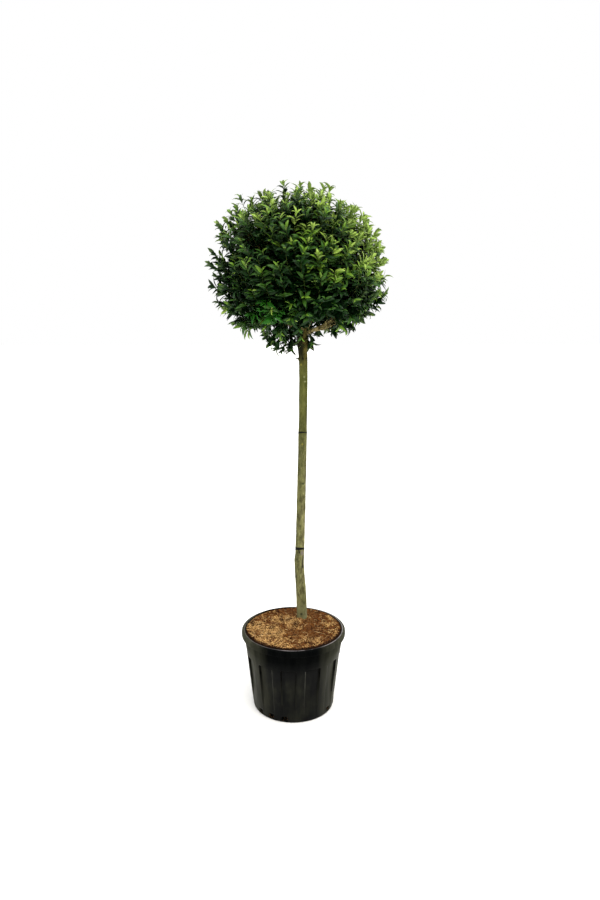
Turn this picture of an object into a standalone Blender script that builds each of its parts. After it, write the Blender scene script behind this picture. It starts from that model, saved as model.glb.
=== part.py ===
"""Portuguese laurel trained as a standard: a clipped leafy head on one bare stem, in a black nursery pot.

Metres, +Z up. The origin is the centre of the pot's flat underside, and the plant is seen from -Y.
"""

import math
import random

import bmesh
import bpy
from mathutils import Vector
from mathutils.bvhtree import BVHTree

SEED = 7
GAP = 0.0003
GOLDEN_ANGLE = math.pi * (3.0 - math.sqrt(5.0))
UP = Vector((0.0, 0.0, 1.0))

# Pot: a tapered 150 litre nursery container with a rolled rim and twelve sunk flutes
POT_HEIGHT = 0.500
RIM_RADIUS = 0.354
RIM_DEPTH = 0.034
RIM_WIDTH = 0.021
RIM_SHOULDER = 0.014
RIM_EDGE = 0.004
RIM_UNDERCUT = 0.009
BAND_TOP_RADIUS = 0.332
BAND_TOP_HEIGHT = 0.416
BAND_FOOT_RADIUS = 0.324
FLUTE_TOP_HEIGHT = 0.361
FLUTE_TOP_RADIUS = 0.320
FLUTE_FOOT_HEIGHT = 0.045
FLUTE_FOOT_RADIUS = 0.276
FOOT_RADIUS = 0.270
FOOT_CHAMFER = 0.008
FOOT_HEIGHT = 0.014
FLUTES = 12
FLUTE_HALF_ANGLE = math.radians(9.0)
FLUTE_SIDE_ANGLE = math.radians(1.2)
FLUTE_PHASE = math.radians(-95.5)
FLUTE_DEPTH = 0.010
FLUTE_END = 0.010
WALL = 0.005
FLOOR = 0.006
DRAIN_WIDTH = 0.026
DRAIN_HEIGHT = 0.014
DRAIN_BOTTOM = 0.012

# Potting compost, domed up to the foot of the stem
COMPOST_EDGE_HEIGHT = 0.490
COMPOST_TOP_HEIGHT = 0.505
COMPOST_RINGS = 4
COMPOST_SIDES = 24
COMPOST_CLEAR = 0.005
COMPOST_LUMP = 0.003
COMPOST_CROWN = 0.010
COMPOST_CROWN_SLOPE = 2.2
COMPOST_LEVEL_EDGE = 10.0
COMPOST_MOUND = 0.160
FOOT_PATCH_RADIUS = 0.060
FOOT_RING_SHARE = 0.97
DRAIN_TOP_SHARE = 0.7
DRAIN_CUT_INSIDE = 0.035
DRAIN_CUT_OUTSIDE = 0.020

# Stem: heights with the sideways place of its centre line and its radius there
STEM_FOOT = Vector((0.059, 0.150, COMPOST_TOP_HEIGHT + GAP))
STEM_BENDS = (
    (0.505, 0.059),
    (0.700, 0.051),
    (0.870, 0.041),
    (0.960, 0.043),
    (1.250, 0.051),
    (1.620, 0.060),
    (2.100, 0.068),
    (2.330, 0.067),
    (2.430, 0.061),
    (2.570, 0.059),
)
STEM_RADII = (
    (0.505, 0.042),
    (0.545, 0.037),
    (0.700, 0.0355),
    (0.870, 0.033),
    (1.000, 0.031),
    (1.400, 0.0305),
    (2.000, 0.029),
    (2.380, 0.031),
    (2.480, 0.035),
    (2.540, 0.034),
    (2.570, 0.024),
)
STEM_RINGS = 20
STEM_SIDES = 14
STEM_FLARE_RINGS = (0.018, 0.045)
STEM_CAP = 0.006
STEM_CAP_SHARE = 0.55
RING_SIDE = Vector((0.95, -0.31, 0.0)).normalized()

# Rubber ties: the height of each band's middle and how deep the band is
TIES = ((0.992, 0.015), (1.811, 0.010))
TIE_WIDTH = 0.004
TIE_CLEAR = 0.020

# Head: a flattened globe on the stem, shared out among the masses of foliage
HEAD_CENTRE = Vector((0.043, 0.150, 2.985))
HEAD_RADIUS = 0.630
HEAD_RISE = 0.505
HEAD_DROP = 0.500
HEAD_SAG = 0.080
HEAD_SQUARENESS = 2.3
LOWER_MASSES = 5
LOWER_OUT = 0.345
LOWER_HEIGHT = 2.820
LOWER_TURN = math.radians(-18.0)
UPPER_MASSES = 4
UPPER_OUT = 0.300
UPPER_HEIGHT = 3.150
UPPER_TURN = math.radians(20.0)
TOP_HEIGHT = 3.270
CORE_REACH = 0.78
CORE_SHARE = 0.86
CORE_LIMB_GAP = 0.030
SPACE_GAP = 0.004
LIMB_GAP = 0.012
MARCH_STEP = 0.01

# Limbs from the fork to the masses
FORK_HEIGHT = 2.505
LEADER_HEIGHT = 2.560
BOUGH_RADIUS = 0.0165
BOUGH_TIP_RADIUS = 0.010
LEADER_RADIUS = 0.019
BOUGH_SIDES = 8
BOUGH_RINGS = 7
UPPER_FORK_HEIGHT = 2.665
UPPER_FORK_STEP = 0.050
UPPER_BOUGH_RADIUS = 0.0130
LEADER_REACH = 0.60
LEADER_SUNK = 0.030
LEADER_RISE = 0.50
LOWER_REACH = 0.52
LOWER_RISE = 0.40
UPPER_REACH = 0.58
UPPER_RISE = 0.35
FLAT_BOUGH_MASS = "foliage_lower_1"
FLAT_BOUGH_TIP = Vector((0.262, 0.108, 2.602))

# Twigs and leaves, larger than life because there are few of them
TWIGS = 92
TWIG_RADIUS = 0.0060
TWIG_TIP_RADIUS = 0.0032
TWIG_ROOT_SHARE = 0.60
LEAF_LENGTH = 0.160
LEAF_WIDTH = 0.052
LEAF_THICKNESS = 0.0055
LEAF_SINK = 0.0006
LEAF_BROADEST = 0.45
LEAF_DROOP = 0.10
LEAVES_ROUND = 4
LEAF_PROBES = (LEAF_BROADEST, 0.72, 1.0)
TIP_LEAF_LEAN = 2.6
SIDE_LEAF_LEAN = (0.35, 0.70)
LEAF_SIZES = (0.90, 1.08)
WHORL_START = 0.08
WHORL_STEP = 0.13
TWIG_END = 0.75
TWIG_LEAST = 0.030
LEAF_OVERREACH = 0.020
SHOOT_REACH = 1.24
PLAIN_REACH = 1.05
SHOOTS_ABOVE = 0.45
GOAL_PULL = 0.08
LEAF_TRIES = 7
LEAF_CLEAR = 0.024
CORE_CLEAR = 0.008
TRY_TURN = 0.85
TRY_SHRINK = 0.93

# The limb inside each mass, as shares of its bough's tip radius and of the way to the mass's middle
HEART_LUMPS = (0.90, 1.05)
MASS_STEM_FIRST = 0.020
MASS_STEM_REACH = 0.85
MASS_STEM_SHARES = (0.98, 0.92, 0.70)
MASS_STEM_SIDES = 6


def clear_scene():
    for found in list(bpy.data.objects):
        bpy.data.objects.remove(found, do_unlink=True)


def material(name, colour, roughness):
    """One Principled material with a plain colour."""
    made = bpy.data.materials.new(name)
    made.use_nodes = True
    shader = made.node_tree.nodes["Principled BSDF"]
    shader.inputs["Base Color"].default_value = (*colour, 1.0)
    shader.inputs["Roughness"].default_value = roughness
    shader.inputs["Metallic"].default_value = 0.0
    return made


def link(name, mesh, finish):
    made = bpy.data.objects.new(name, mesh)
    bpy.context.scene.collection.objects.link(made)
    if finish is not None:
        mesh.materials.append(finish)
    return made


def mesh_object(name, bm, finish, smooth_angle=None):
    """An object of this bmesh, with its faces turned outwards."""
    bmesh.ops.recalc_face_normals(bm, faces=bm.faces)
    mesh = bpy.data.meshes.new(name)
    bm.to_mesh(mesh)
    bm.free()
    if smooth_angle is not None:
        mesh.shade_smooth()
        mesh.set_sharp_from_angle(angle=smooth_angle)
    return link(name, mesh, finish)


def between(table, height):
    """The value at a height in a table of (height, value), on a smooth curve through its entries."""
    last = len(table) - 2
    at = max(i for i in range(last + 1) if i == 0 or table[i][0] <= height)
    low, high = table[at], table[at + 1]
    span = high[0] - low[0]
    before = table[at - 1] if at > 0 else low
    after = table[at + 2] if at < last else high
    slope_low = (high[1] - before[1]) / (high[0] - before[0])
    slope_high = (after[1] - low[1]) / (after[0] - low[0])
    t = min(max((height - low[0]) / span, 0.0), 1.0)
    return (
        (2 * t**3 - 3 * t**2 + 1) * low[1]
        + (t**3 - 2 * t**2 + t) * span * slope_low
        + (-2 * t**3 + 3 * t**2) * high[1]
        + (t**3 - t**2) * span * slope_high
    )


def bridge_rings(bm, rings):
    """Quads between each ring of vertices and the next."""
    for lower, upper in zip(rings, rings[1:]):
        count = len(lower)
        for i in range(count):
            j = (i + 1) % count
            bm.faces.new((lower[i], lower[j], upper[j], upper[i]))


def round_ring(bm, centre, radius, sides, side, other):
    """A ring of vertices round a centre, in the plane of two unit directions."""
    turns = [2.0 * math.pi * k / sides for k in range(sides)]
    return [bm.verts.new(centre + radius * (math.cos(a) * side + math.sin(a) * other)) for a in turns]


def limb_mesh(bm, centres, radii, sides, level=False):
    """A round tapering limb along the centres, with flat ends. Level rings all lie flat."""
    rings = []
    side = RING_SIDE
    for i, centre in enumerate(centres):
        ahead = centres[min(i + 1, len(centres) - 1)] - centres[max(i - 1, 0)]
        ahead = UP if level else ahead.normalized()
        side = (side - ahead * side.dot(ahead)).normalized()
        rings.append(round_ring(bm, centre, radii[i], sides, side, ahead.cross(side)))
    bridge_rings(bm, rings)
    bm.faces.new(reversed(rings[0]))
    bm.faces.new(rings[-1])


def limb(name, centres, radii, sides, finish, level=False):
    bm = bmesh.new()
    limb_mesh(bm, centres, radii, sides, level)
    return mesh_object(name, bm, finish, math.radians(40.0))


def cutter(made):
    """Marks a helper that only cuts."""
    made.hide_render = True
    made.display_type = "WIRE"
    return made


def cut_away(made, tool):
    cut = made.modifiers.new("clear of its parent", "BOOLEAN")
    cut.operation = "DIFFERENCE"
    cut.solver = "EXACT"
    cut.object = tool


# Pot

def flute_turns():
    """The turns round the pot where its wall changes, as (angle, is in a flute)."""
    turns = []
    for k in range(FLUTES):
        middle = FLUTE_PHASE + 2.0 * math.pi * k / FLUTES
        outer = FLUTE_HALF_ANGLE + FLUTE_SIDE_ANGLE
        turns += [
            (middle - outer, False),
            (middle - FLUTE_HALF_ANGLE, True),
            (middle + FLUTE_HALF_ANGLE, True),
            (middle + outer, False),
        ]
    return turns


def pot_ring(bm, turns, radius, height, sunk=0.0):
    ring = []
    for angle, in_flute in turns:
        here = radius - (sunk if in_flute else 0.0)
        ring.append(bm.verts.new((here * math.cos(angle), here * math.sin(angle), height)))
    return ring


def inner_profile():
    """(radius, height) up the inside of the pot wall."""
    return (
        (FOOT_RADIUS - FLUTE_DEPTH - WALL, FLOOR),
        (FLUTE_FOOT_RADIUS - FLUTE_DEPTH - WALL, FLUTE_FOOT_HEIGHT),
        (FLUTE_TOP_RADIUS - FLUTE_DEPTH - WALL, FLUTE_TOP_HEIGHT),
        (BAND_TOP_RADIUS - 2.0 * WALL, BAND_TOP_HEIGHT),
        (RIM_RADIUS - RIM_WIDTH - WALL, POT_HEIGHT - RIM_DEPTH),
        (RIM_RADIUS - RIM_WIDTH, POT_HEIGHT - RIM_EDGE),
    )


def drain_cutter():
    """One mesh of slots through the foot of the wall, one under each ridge between two flutes."""
    bm = bmesh.new()
    for k in range(FLUTES):
        angle = FLUTE_PHASE + 2.0 * math.pi * (k + 0.5) / FLUTES
        outward = Vector((math.cos(angle), math.sin(angle), 0.0))
        across = Vector((-math.sin(angle), math.cos(angle), 0.0))
        ends = []
        for reach in (FOOT_RADIUS - DRAIN_CUT_INSIDE, FOOT_RADIUS + DRAIN_CUT_OUTSIDE):
            corners = []
            for out, height in ((-1, 0.0), (1, 0.0), (DRAIN_TOP_SHARE, 1.0), (-DRAIN_TOP_SHARE, 1.0)):
                point = outward * reach + across * (out * 0.5 * DRAIN_WIDTH)
                point.z = DRAIN_BOTTOM + height * DRAIN_HEIGHT
                corners.append(bm.verts.new(point))
            ends.append(corners)
        bridge_rings(bm, ends)
        bm.faces.new(reversed(ends[0]))
        bm.faces.new(ends[1])
    return cutter(mesh_object("drain_cutter", bm, None))


def build_pot(plastic):
    turns = flute_turns()
    bm = bmesh.new()
    flute_slope = (FLUTE_TOP_RADIUS - FLUTE_FOOT_RADIUS) / (FLUTE_TOP_HEIGHT - FLUTE_FOOT_HEIGHT)
    outside = (
        (FOOT_RADIUS - FOOT_CHAMFER, 0.0, 0.0),
        (FOOT_RADIUS, FOOT_HEIGHT, 0.0),
        (FLUTE_FOOT_RADIUS, FLUTE_FOOT_HEIGHT, 0.0),
        (FLUTE_FOOT_RADIUS + flute_slope * FLUTE_END, FLUTE_FOOT_HEIGHT + FLUTE_END, FLUTE_DEPTH),
        (FLUTE_TOP_RADIUS - flute_slope * FLUTE_END, FLUTE_TOP_HEIGHT - FLUTE_END, FLUTE_DEPTH),
        (FLUTE_TOP_RADIUS, FLUTE_TOP_HEIGHT, 0.0),
        (BAND_FOOT_RADIUS, FLUTE_TOP_HEIGHT + FLUTE_END, 0.0),
        (BAND_TOP_RADIUS, BAND_TOP_HEIGHT, 0.0),
        (RIM_RADIUS - RIM_EDGE, POT_HEIGHT - RIM_DEPTH - RIM_UNDERCUT, 0.0),
        (RIM_RADIUS, POT_HEIGHT - RIM_DEPTH, 0.0),
        (RIM_RADIUS, POT_HEIGHT - RIM_SHOULDER, 0.0),
        (RIM_RADIUS - RIM_EDGE, POT_HEIGHT - RIM_EDGE, 0.0),
        (RIM_RADIUS - RIM_WIDTH + 2.0 * RIM_EDGE, POT_HEIGHT, 0.0),
        (RIM_RADIUS - RIM_WIDTH + RIM_EDGE, POT_HEIGHT, 0.0),
    )
    rings = [pot_ring(bm, turns, *level) for level in outside]
    rings += [pot_ring(bm, turns, radius, height) for radius, height in reversed(inner_profile())]
    bridge_rings(bm, rings)
    bm.faces.new(reversed(rings[0]))
    bm.faces.new(rings[-1])
    pot = mesh_object("pot", bm, plastic, math.radians(30.0))
    drains = pot.modifiers.new("drain slots", "BOOLEAN")
    drains.operation = "DIFFERENCE"
    drains.solver = "EXACT"
    drains.object = drain_cutter()
    return pot


def compost_height(x, y, chance):
    """The height of the compost at a place, flat under the foot of the stem and domed up to it."""
    away = math.hypot(x - STEM_FOOT.x, y - STEM_FOOT.y)
    if away < FOOT_PATCH_RADIUS:
        return COMPOST_TOP_HEIGHT
    edge = RIM_RADIUS - RIM_WIDTH - WALL
    from_edge = 1.0 - math.hypot(x, y) / edge
    near_stem = math.exp(-(((away - FOOT_PATCH_RADIUS) / COMPOST_MOUND) ** 2))
    rise = (COMPOST_TOP_HEIGHT - COMPOST_EDGE_HEIGHT) * near_stem
    crown = COMPOST_CROWN * min(max(COMPOST_CROWN_SLOPE * from_edge, 0.0), 1.0)
    lump = COMPOST_LUMP * chance.uniform(-1.0, 1.0) * min(COMPOST_LEVEL_EDGE * from_edge, 1.0)
    return COMPOST_EDGE_HEIGHT + max(rise, crown) + lump


def build_compost(bark):
    """The root ball with its top dressing, filling the pot with a hair of clearance."""
    chance = random.Random(SEED)
    bm = bmesh.new()
    x_axis, y_axis = Vector((1.0, 0.0, 0.0)), Vector((0.0, 1.0, 0.0))
    sides = [(radius - COMPOST_CLEAR, height + GAP) for radius, height in inner_profile()[:5]]
    edge_radius = sides[-1][0]
    sides.append((edge_radius, COMPOST_EDGE_HEIGHT))
    rings = [round_ring(bm, UP * height, radius, COMPOST_SIDES, x_axis, y_axis) for radius, height in sides]
    patch = Vector((STEM_FOOT.x, STEM_FOOT.y, 0.0))
    for k in range(1, COMPOST_RINGS + 1):
        ring = []
        for vertex in rings[len(sides) - 1]:
            outward = Vector((vertex.co.x, vertex.co.y, 0.0))
            foot = patch + outward.normalized() * FOOT_PATCH_RADIUS * FOOT_RING_SHARE
            point = outward.lerp(foot, k / COMPOST_RINGS)
            point.z = compost_height(point.x, point.y, chance)
            ring.append(bm.verts.new(point))
        rings.append(ring)
    bridge_rings(bm, rings)
    bm.faces.new(reversed(rings[0]))
    bm.faces.new(rings[-1])
    return mesh_object("compost", bm, bark)


# Stem and boughs

def stem_centre(height):
    return Vector((between(STEM_BENDS, height), STEM_FOOT.y, height))


def stem_path(fatter=0.0):
    """Centres and radii up the stem, with a ring at each edge of each tie."""
    top = STEM_BENDS[-1][0]
    heights = [STEM_FOOT.z + (top - STEM_FOOT.z) * k / (STEM_RINGS - 1) for k in range(STEM_RINGS)]
    heights += [STEM_FOOT.z + rise for rise in STEM_FLARE_RINGS]
    for height, depth in TIES:
        heights = [other for other in heights if abs(other - height) > TIE_CLEAR]
        heights += [height - depth / 2, height + depth / 2]
    heights.sort()
    centres = [stem_centre(height) for height in heights]
    radii = [between(STEM_RADII, height) + fatter for height in heights]
    centres.append(centres[-1] + UP * STEM_CAP)
    radii.append(STEM_CAP_SHARE * radii[-1])
    return centres, radii


def build_stem(bark):
    centres, radii = stem_path()
    return limb("stem", centres, radii, STEM_SIDES, bark, level=True)


def build_tie(name, height, depth, rubber):
    """A flat band round the stem, a hair clear of it on every side."""
    clear = GAP / math.cos(math.pi / STEM_SIDES)
    bm = bmesh.new()
    rings = []
    for width, end in ((0.0, -1), (TIE_WIDTH, -1), (TIE_WIDTH, 1), (0.0, 1)):
        level = height + end * depth / 2
        radius = between(STEM_RADII, level) + clear + width
        rings.append(round_ring(bm, stem_centre(level), radius, STEM_SIDES, RING_SIDE, UP.cross(RING_SIDE)))
    bridge_rings(bm, rings + rings[:1])
    return mesh_object(name, bm, rubber, math.radians(30.0))


def bough_path(start, tip, rise):
    """Centres from the parent's axis to the bough's tip, leaving at a slope and then climbing."""
    middle = start.lerp(tip, 0.5)
    middle.z = start.z + rise * (tip.z - start.z)
    centres = []
    for k in range(BOUGH_RINGS):
        t = k / (BOUGH_RINGS - 1)
        centres.append((1 - t) ** 2 * start + 2 * t * (1 - t) * middle + t**2 * tip)
    return centres


def on_path(centres, height):
    """The point of a rising path at a height."""
    for low, high in zip(centres, centres[1:]):
        if low.z <= height <= high.z:
            return low.lerp(high, (height - low.z) / (high.z - low.z))
    return centres[-1]


def taper(first, last, count):
    return [first + (last - first) * k / (count - 1) for k in range(count)]


# Head

def ring_of_anchors(count, out, height, turn):
    anchors = []
    for k in range(count):
        angle = turn + 2.0 * math.pi * k / count
        anchors.append(
            Vector((HEAD_CENTRE.x + out * math.cos(angle), HEAD_CENTRE.y + out * math.sin(angle), height))
        )
    return anchors


def mass_anchors():
    """The middle of each mass, by name."""
    lower = ring_of_anchors(LOWER_MASSES, LOWER_OUT, LOWER_HEIGHT, LOWER_TURN)
    upper = ring_of_anchors(UPPER_MASSES, UPPER_OUT, UPPER_HEIGHT, UPPER_TURN)
    anchors = {f"foliage_lower_{k + 1}": spot for k, spot in enumerate(lower)}
    anchors.update({f"foliage_upper_{k + 1}": spot for k, spot in enumerate(upper)})
    anchors["foliage_top"] = Vector((HEAD_CENTRE.x, HEAD_CENTRE.y, TOP_HEIGHT))
    return anchors


def head_measure(point):
    """0 at the middle of the head, 1 on its outline, more outside. The head hangs lower towards -X."""
    away = point - HEAD_CENTRE
    drop = HEAD_DROP - HEAD_SAG * away.x / HEAD_RADIUS
    tall = HEAD_RISE if away.z > 0 else drop
    flat = math.hypot(away.x, away.y) / HEAD_RADIUS
    return (flat**HEAD_SQUARENESS + abs(away.z / tall) ** HEAD_SQUARENESS) ** (1.0 / HEAD_SQUARENESS)


class Space:
    """The room of one mass: nearer its own anchor than any other, inside the head, off the limbs."""

    def __init__(self, anchor, others, limbs, limb_gap=LIMB_GAP):
        self.anchor = anchor
        self.walls = [((anchor + other) / 2.0, (other - anchor).normalized()) for other in others]
        self.limbs = limbs
        self.limb_gap = limb_gap

    def holds(self, point, reach):
        if head_measure(point) > reach:
            return False
        if any((point - middle).dot(away) > -SPACE_GAP for middle, away in self.walls):
            return False
        return all(self.off_limb(point, centres, radii) for centres, radii in self.limbs)

    def off_limb(self, point, centres, radii):
        for start, end, radius in zip(centres, centres[1:], radii):
            along = end - start
            t = min(max((point - start).dot(along) / along.length_squared, 0.0), 1.0)
            if (point - start - t * along).length < radius + self.limb_gap:
                return False
        return True

    def holds_line(self, start, end, reach):
        """Whether a straight line stays in the space."""
        steps = max(2, math.ceil((end - start).length / MARCH_STEP))
        return all(self.holds(start.lerp(end, k / steps), reach) for k in range(steps + 1))

    def exit_along(self, direction, reach):
        """How far a straight line from the anchor runs before it leaves the space."""
        far = 0.0
        while self.holds(self.anchor + direction * (far + MARCH_STEP), reach):
            far += MARCH_STEP
        return far


def leaf_frame(root, direction, outward, length):
    """The middle of a leaf's broadest part, half its width as a vector, half its thickness, and its tip."""
    across = direction.cross(outward).normalized()
    above = across.cross(direction).normalized()
    share = length / LEAF_LENGTH
    waist = root + direction * length * LEAF_BROADEST
    tip = root + direction * length - above * length * LEAF_DROOP
    return waist, across * share * LEAF_WIDTH / 2, above * share * LEAF_THICKNESS / 2, tip


def leaf_fits(space, root, direction, outward, length, reach):
    waist, half_width, _, tip = leaf_frame(root, direction, outward, length)
    left, right = waist + half_width, waist - half_width
    edges = ((root, tip), (root, left), (root, right), (left, tip), (right, tip), (left, right))
    return all(space.holds_line(start, end, reach) for start, end in edges)


def leaf_mesh(bm, root, direction, outward, length):
    """A leaf of eight faces, pointed at both ends, with its root sunk in the twig."""
    waist, half_width, half_thick, tip = leaf_frame(root, direction, outward, length)
    corners = (waist + half_width, waist + half_thick, waist - half_width, waist - half_thick)
    ring = [bm.verts.new(corner) for corner in corners]
    base, end = bm.verts.new(root - direction * LEAF_SINK), bm.verts.new(tip)
    for i in range(4):
        j = (i + 1) % 4
        bm.faces.new((base, ring[i], ring[j]))
        bm.faces.new((end, ring[j], ring[i]))


def head_directions():
    """Directions from the middle of the head, spread evenly on a spiral from its top to its underside."""
    found = []
    for k in range(TWIGS):
        height = 1.0 - 2.0 * (k + 0.5) / TWIGS
        flat = math.sqrt(1.0 - height * height)
        turn = GOLDEN_ANGLE * k
        found.append(Vector((flat * math.cos(turn), flat * math.sin(turn), height)))
    return found


def head_surface(direction, reach):
    """The place where a line from the middle of the head meets its outline."""
    return HEAD_CENTRE + direction * reach / head_measure(HEAD_CENTRE + direction)


def twig_goals(anchor, anchors, chance):
    """The tips that this mass's twigs grow to, each with how far out it may reach."""
    goals = []
    for direction in head_directions():
        reach = PLAIN_REACH
        if direction.z > SHOOTS_ABOVE:
            reach = chance.uniform(PLAIN_REACH, SHOOT_REACH)
        tip = head_surface(direction, reach)
        nearest = min(anchors, key=lambda spot: (spot - tip).length)
        if nearest == anchor:
            inward = (tip - HEAD_CENTRE).normalized().lerp((anchor - HEAD_CENTRE).normalized(), GOAL_PULL)
            goals.append((head_surface(inward.normalized(), reach), reach))
    return goals


def grow_twigs(space, core_space, heart, anchors, chance):
    """The twigs of one mass and the leaves on them, as a list of bmeshes."""
    grown = []
    taken = []
    for goal, reach in twig_goals(space.anchor, anchors, chance):
        direction = (goal - space.anchor).normalized()
        core = CORE_SHARE * core_space.exit_along(direction, CORE_REACH)
        start = space.anchor + direction * core * TWIG_ROOT_SHARE
        end = goal - direction * TWIG_END * LEAF_LENGTH
        if (end - start).dot(direction) < TWIG_LEAST:
            end = start + direction * TWIG_LEAST
        if not space.holds_line(start, end, reach):
            continue
        bm = bmesh.new()
        limb_mesh(bm, [start, end], [TWIG_RADIUS, TWIG_TIP_RADIUS], 3)
        grown.append(bm)
        grown += leaves_on(space, start, end, direction, reach, heart, taken, chance)
    return grown


def leaf_is_free(root, direction, length, heart, taken):
    """Whether a leaf's midrib keeps off the heart of its mass and off the leaves that are there already."""
    for share in LEAF_PROBES:
        point = root + direction * length * share
        near, normal, _, _ = heart.find_nearest(point)
        if (point - near).dot(normal) < CORE_CLEAR:
            return False
        if any((point - other).length < LEAF_CLEAR for other in taken):
            return False
    return True


def leaves_on(space, start, end, ahead, reach, heart, taken, chance):
    """One leaf at the twig's tip and a whorl behind it, faces outwards, each turned until it has room."""
    side = ahead.orthogonal().normalized()
    first_turn = chance.uniform(0.0, 2.0 * math.pi)
    leaves = []
    for k in range(LEAVES_ROUND + 1):
        root = end - ahead * TWIG_TIP_RADIUS
        lean = TIP_LEAF_LEAN
        if k > 0:
            root = end.lerp(start, WHORL_START + WHORL_STEP * (k - 1))
            lean = chance.uniform(*SIDE_LEAF_LEAN)
        length = LEAF_LENGTH * chance.uniform(*LEAF_SIZES)
        for attempt in range(LEAF_TRIES):
            turn = first_turn + GOLDEN_ANGLE * k + TRY_TURN * attempt
            spread = math.cos(turn) * side + math.sin(turn) * ahead.cross(side)
            direction = (ahead * lean + spread).normalized()
            outward = (ahead - 0.2 * spread).normalized()
            has_room = leaf_is_free(root, direction, length, heart, taken)
            if has_room and leaf_fits(space, root, direction, outward, length, reach + LEAF_OVERREACH):
                bm = bmesh.new()
                leaf_mesh(bm, root, direction, outward, length)
                leaves.append(bm)
                taken += [root + direction * length * share for share in LEAF_PROBES]
                break
            length *= TRY_SHRINK
    return leaves


def core_mesh(core_space, chance):
    """A lumpy closed heart of the mass's own shape, well inside its space."""
    bm = bmesh.new()
    bmesh.ops.create_icosphere(bm, subdivisions=2, radius=1.0)
    for vertex in bm.verts:
        direction = vertex.co.normalized()
        room = core_space.exit_along(direction, CORE_REACH)
        vertex.co = core_space.anchor + direction * room * CORE_SHARE * chance.uniform(*HEART_LUMPS)
    bm.normal_update()
    return bm


def build_mass(name, anchors, limbs, own_limb, leafy, seed):
    """One mass: its stem, a small core and the leafy twigs that stand out of it, joined to one solid."""
    chance = random.Random(seed)
    anchor = anchors[name]
    others = [spot for other, spot in anchors.items() if other != name]
    space = Space(anchor, others, limbs)
    bough_centres, bough_radii = own_limb
    core_space = Space(anchor, others, limbs, CORE_LIMB_GAP)
    core_space.walls.append((bough_centres[-1], (bough_centres[-1] - anchor).normalized()))
    core_bm = core_mesh(core_space, chance)
    heart = BVHTree.FromBMesh(core_bm)
    core = mesh_object(name, core_bm, leafy)
    parts = bpy.data.collections.new(name + "_parts")
    bpy.context.scene.collection.children.link(parts)
    ahead = (bough_centres[-1] - bough_centres[-2]).normalized()
    start = bough_centres[-1] + ahead * GAP
    bm = bmesh.new()
    stem_line = [start, start + ahead * MASS_STEM_FIRST, start.lerp(anchor, MASS_STEM_REACH)]
    limb_mesh(bm, stem_line, [share * bough_radii[-1] for share in MASS_STEM_SHARES], MASS_STEM_SIDES)
    grown = [bm] + grow_twigs(space, core_space, heart, list(anchors.values()), chance)
    for k, bm in enumerate(grown):
        piece = mesh_object(f"{name}_piece_{k}", bm, None)
        bpy.context.scene.collection.objects.unlink(piece)
        parts.objects.link(piece)
    join_collection(core, parts)


def join_collection(base, parts):
    """Joins every object of the collection to the base by one Boolean union, then removes them."""
    union = base.modifiers.new("one mass", "BOOLEAN")
    union.operation = "UNION"
    union.operand_type = "COLLECTION"
    union.collection = parts
    union.solver = "EXACT"
    graph = bpy.context.evaluated_depsgraph_get()
    joined = bpy.data.meshes.new_from_object(base.evaluated_get(graph))
    base.modifiers.clear()
    base.data = joined
    for piece in list(parts.objects):
        bpy.data.objects.remove(piece, do_unlink=True)
    bpy.data.collections.remove(parts)
    drop_scraps(base.data)


def drop_scraps(mesh):
    """Keeps the largest connected body of a mesh and drops any leaf that met nothing."""
    bm = bmesh.new()
    bm.from_mesh(mesh)
    unseen = set(bm.verts)
    bodies = []
    while unseen:
        body = {unseen.pop()}
        front = set(body)
        while front:
            front = {edge.other_vert(vertex) for vertex in front for edge in vertex.link_edges} & unseen
            unseen -= front
            body |= front
        bodies.append(body)
    largest = max(bodies, key=len)
    scraps = [vertex for body in bodies if body is not largest for vertex in body]
    bmesh.ops.delete(bm, geom=scraps, context="VERTS")
    bm.to_mesh(mesh)
    bm.free()


def bough_line(name, index, anchor, leader_centres):
    """The centres and radii of the bough to one mass, from the stem or from the leader."""
    start, radius, rise = stem_centre(FORK_HEIGHT), BOUGH_RADIUS, LOWER_RISE
    tip = start.lerp(anchor, LOWER_REACH)
    if name == FLAT_BOUGH_MASS:
        tip = FLAT_BOUGH_TIP
    elif name.startswith("foliage_upper"):
        start = on_path(leader_centres, UPPER_FORK_HEIGHT + UPPER_FORK_STEP * (index % 2))
        radius, rise = UPPER_BOUGH_RADIUS, UPPER_RISE
        tip = start.lerp(anchor, UPPER_REACH)
    return bough_path(start, tip, rise), taper(radius, BOUGH_TIP_RADIUS, BOUGH_RINGS)


def build_boughs(anchors, bark):
    """A leader and one bough for each other mass, as the path of each mass's own limb."""
    fat_centres, fat_radii = stem_path(GAP)
    stem_tool = cutter(limb("stem_cutter", fat_centres, fat_radii, STEM_SIDES, None, level=True))
    leader_start = stem_centre(LEADER_HEIGHT - LEADER_SUNK)
    leader_tip = leader_start.lerp(anchors["foliage_top"], LEADER_REACH)
    leader_centres = bough_path(leader_start, leader_tip, LEADER_RISE)
    leader_radii = taper(LEADER_RADIUS, BOUGH_TIP_RADIUS, BOUGH_RINGS)
    leader = limb("bough_leader", leader_centres, leader_radii, BOUGH_SIDES, bark)
    cut_away(leader, stem_tool)
    fat_radii = [radius + GAP for radius in leader_radii]
    leader_tool = cutter(limb("leader_cutter", leader_centres, fat_radii, BOUGH_SIDES, None))

    limbs = {"foliage_top": (leader_centres, leader_radii)}
    for k, (name, anchor) in enumerate(anchors.items()):
        if name == "foliage_top":
            continue
        centres, radii = bough_line(name, k, anchor, leader_centres)
        bough = limb(name.replace("foliage", "bough"), centres, radii, BOUGH_SIDES, bark)
        cut_away(bough, leader_tool if name.startswith("foliage_upper") else stem_tool)
        limbs[name] = (centres, radii)
    return limbs


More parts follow.
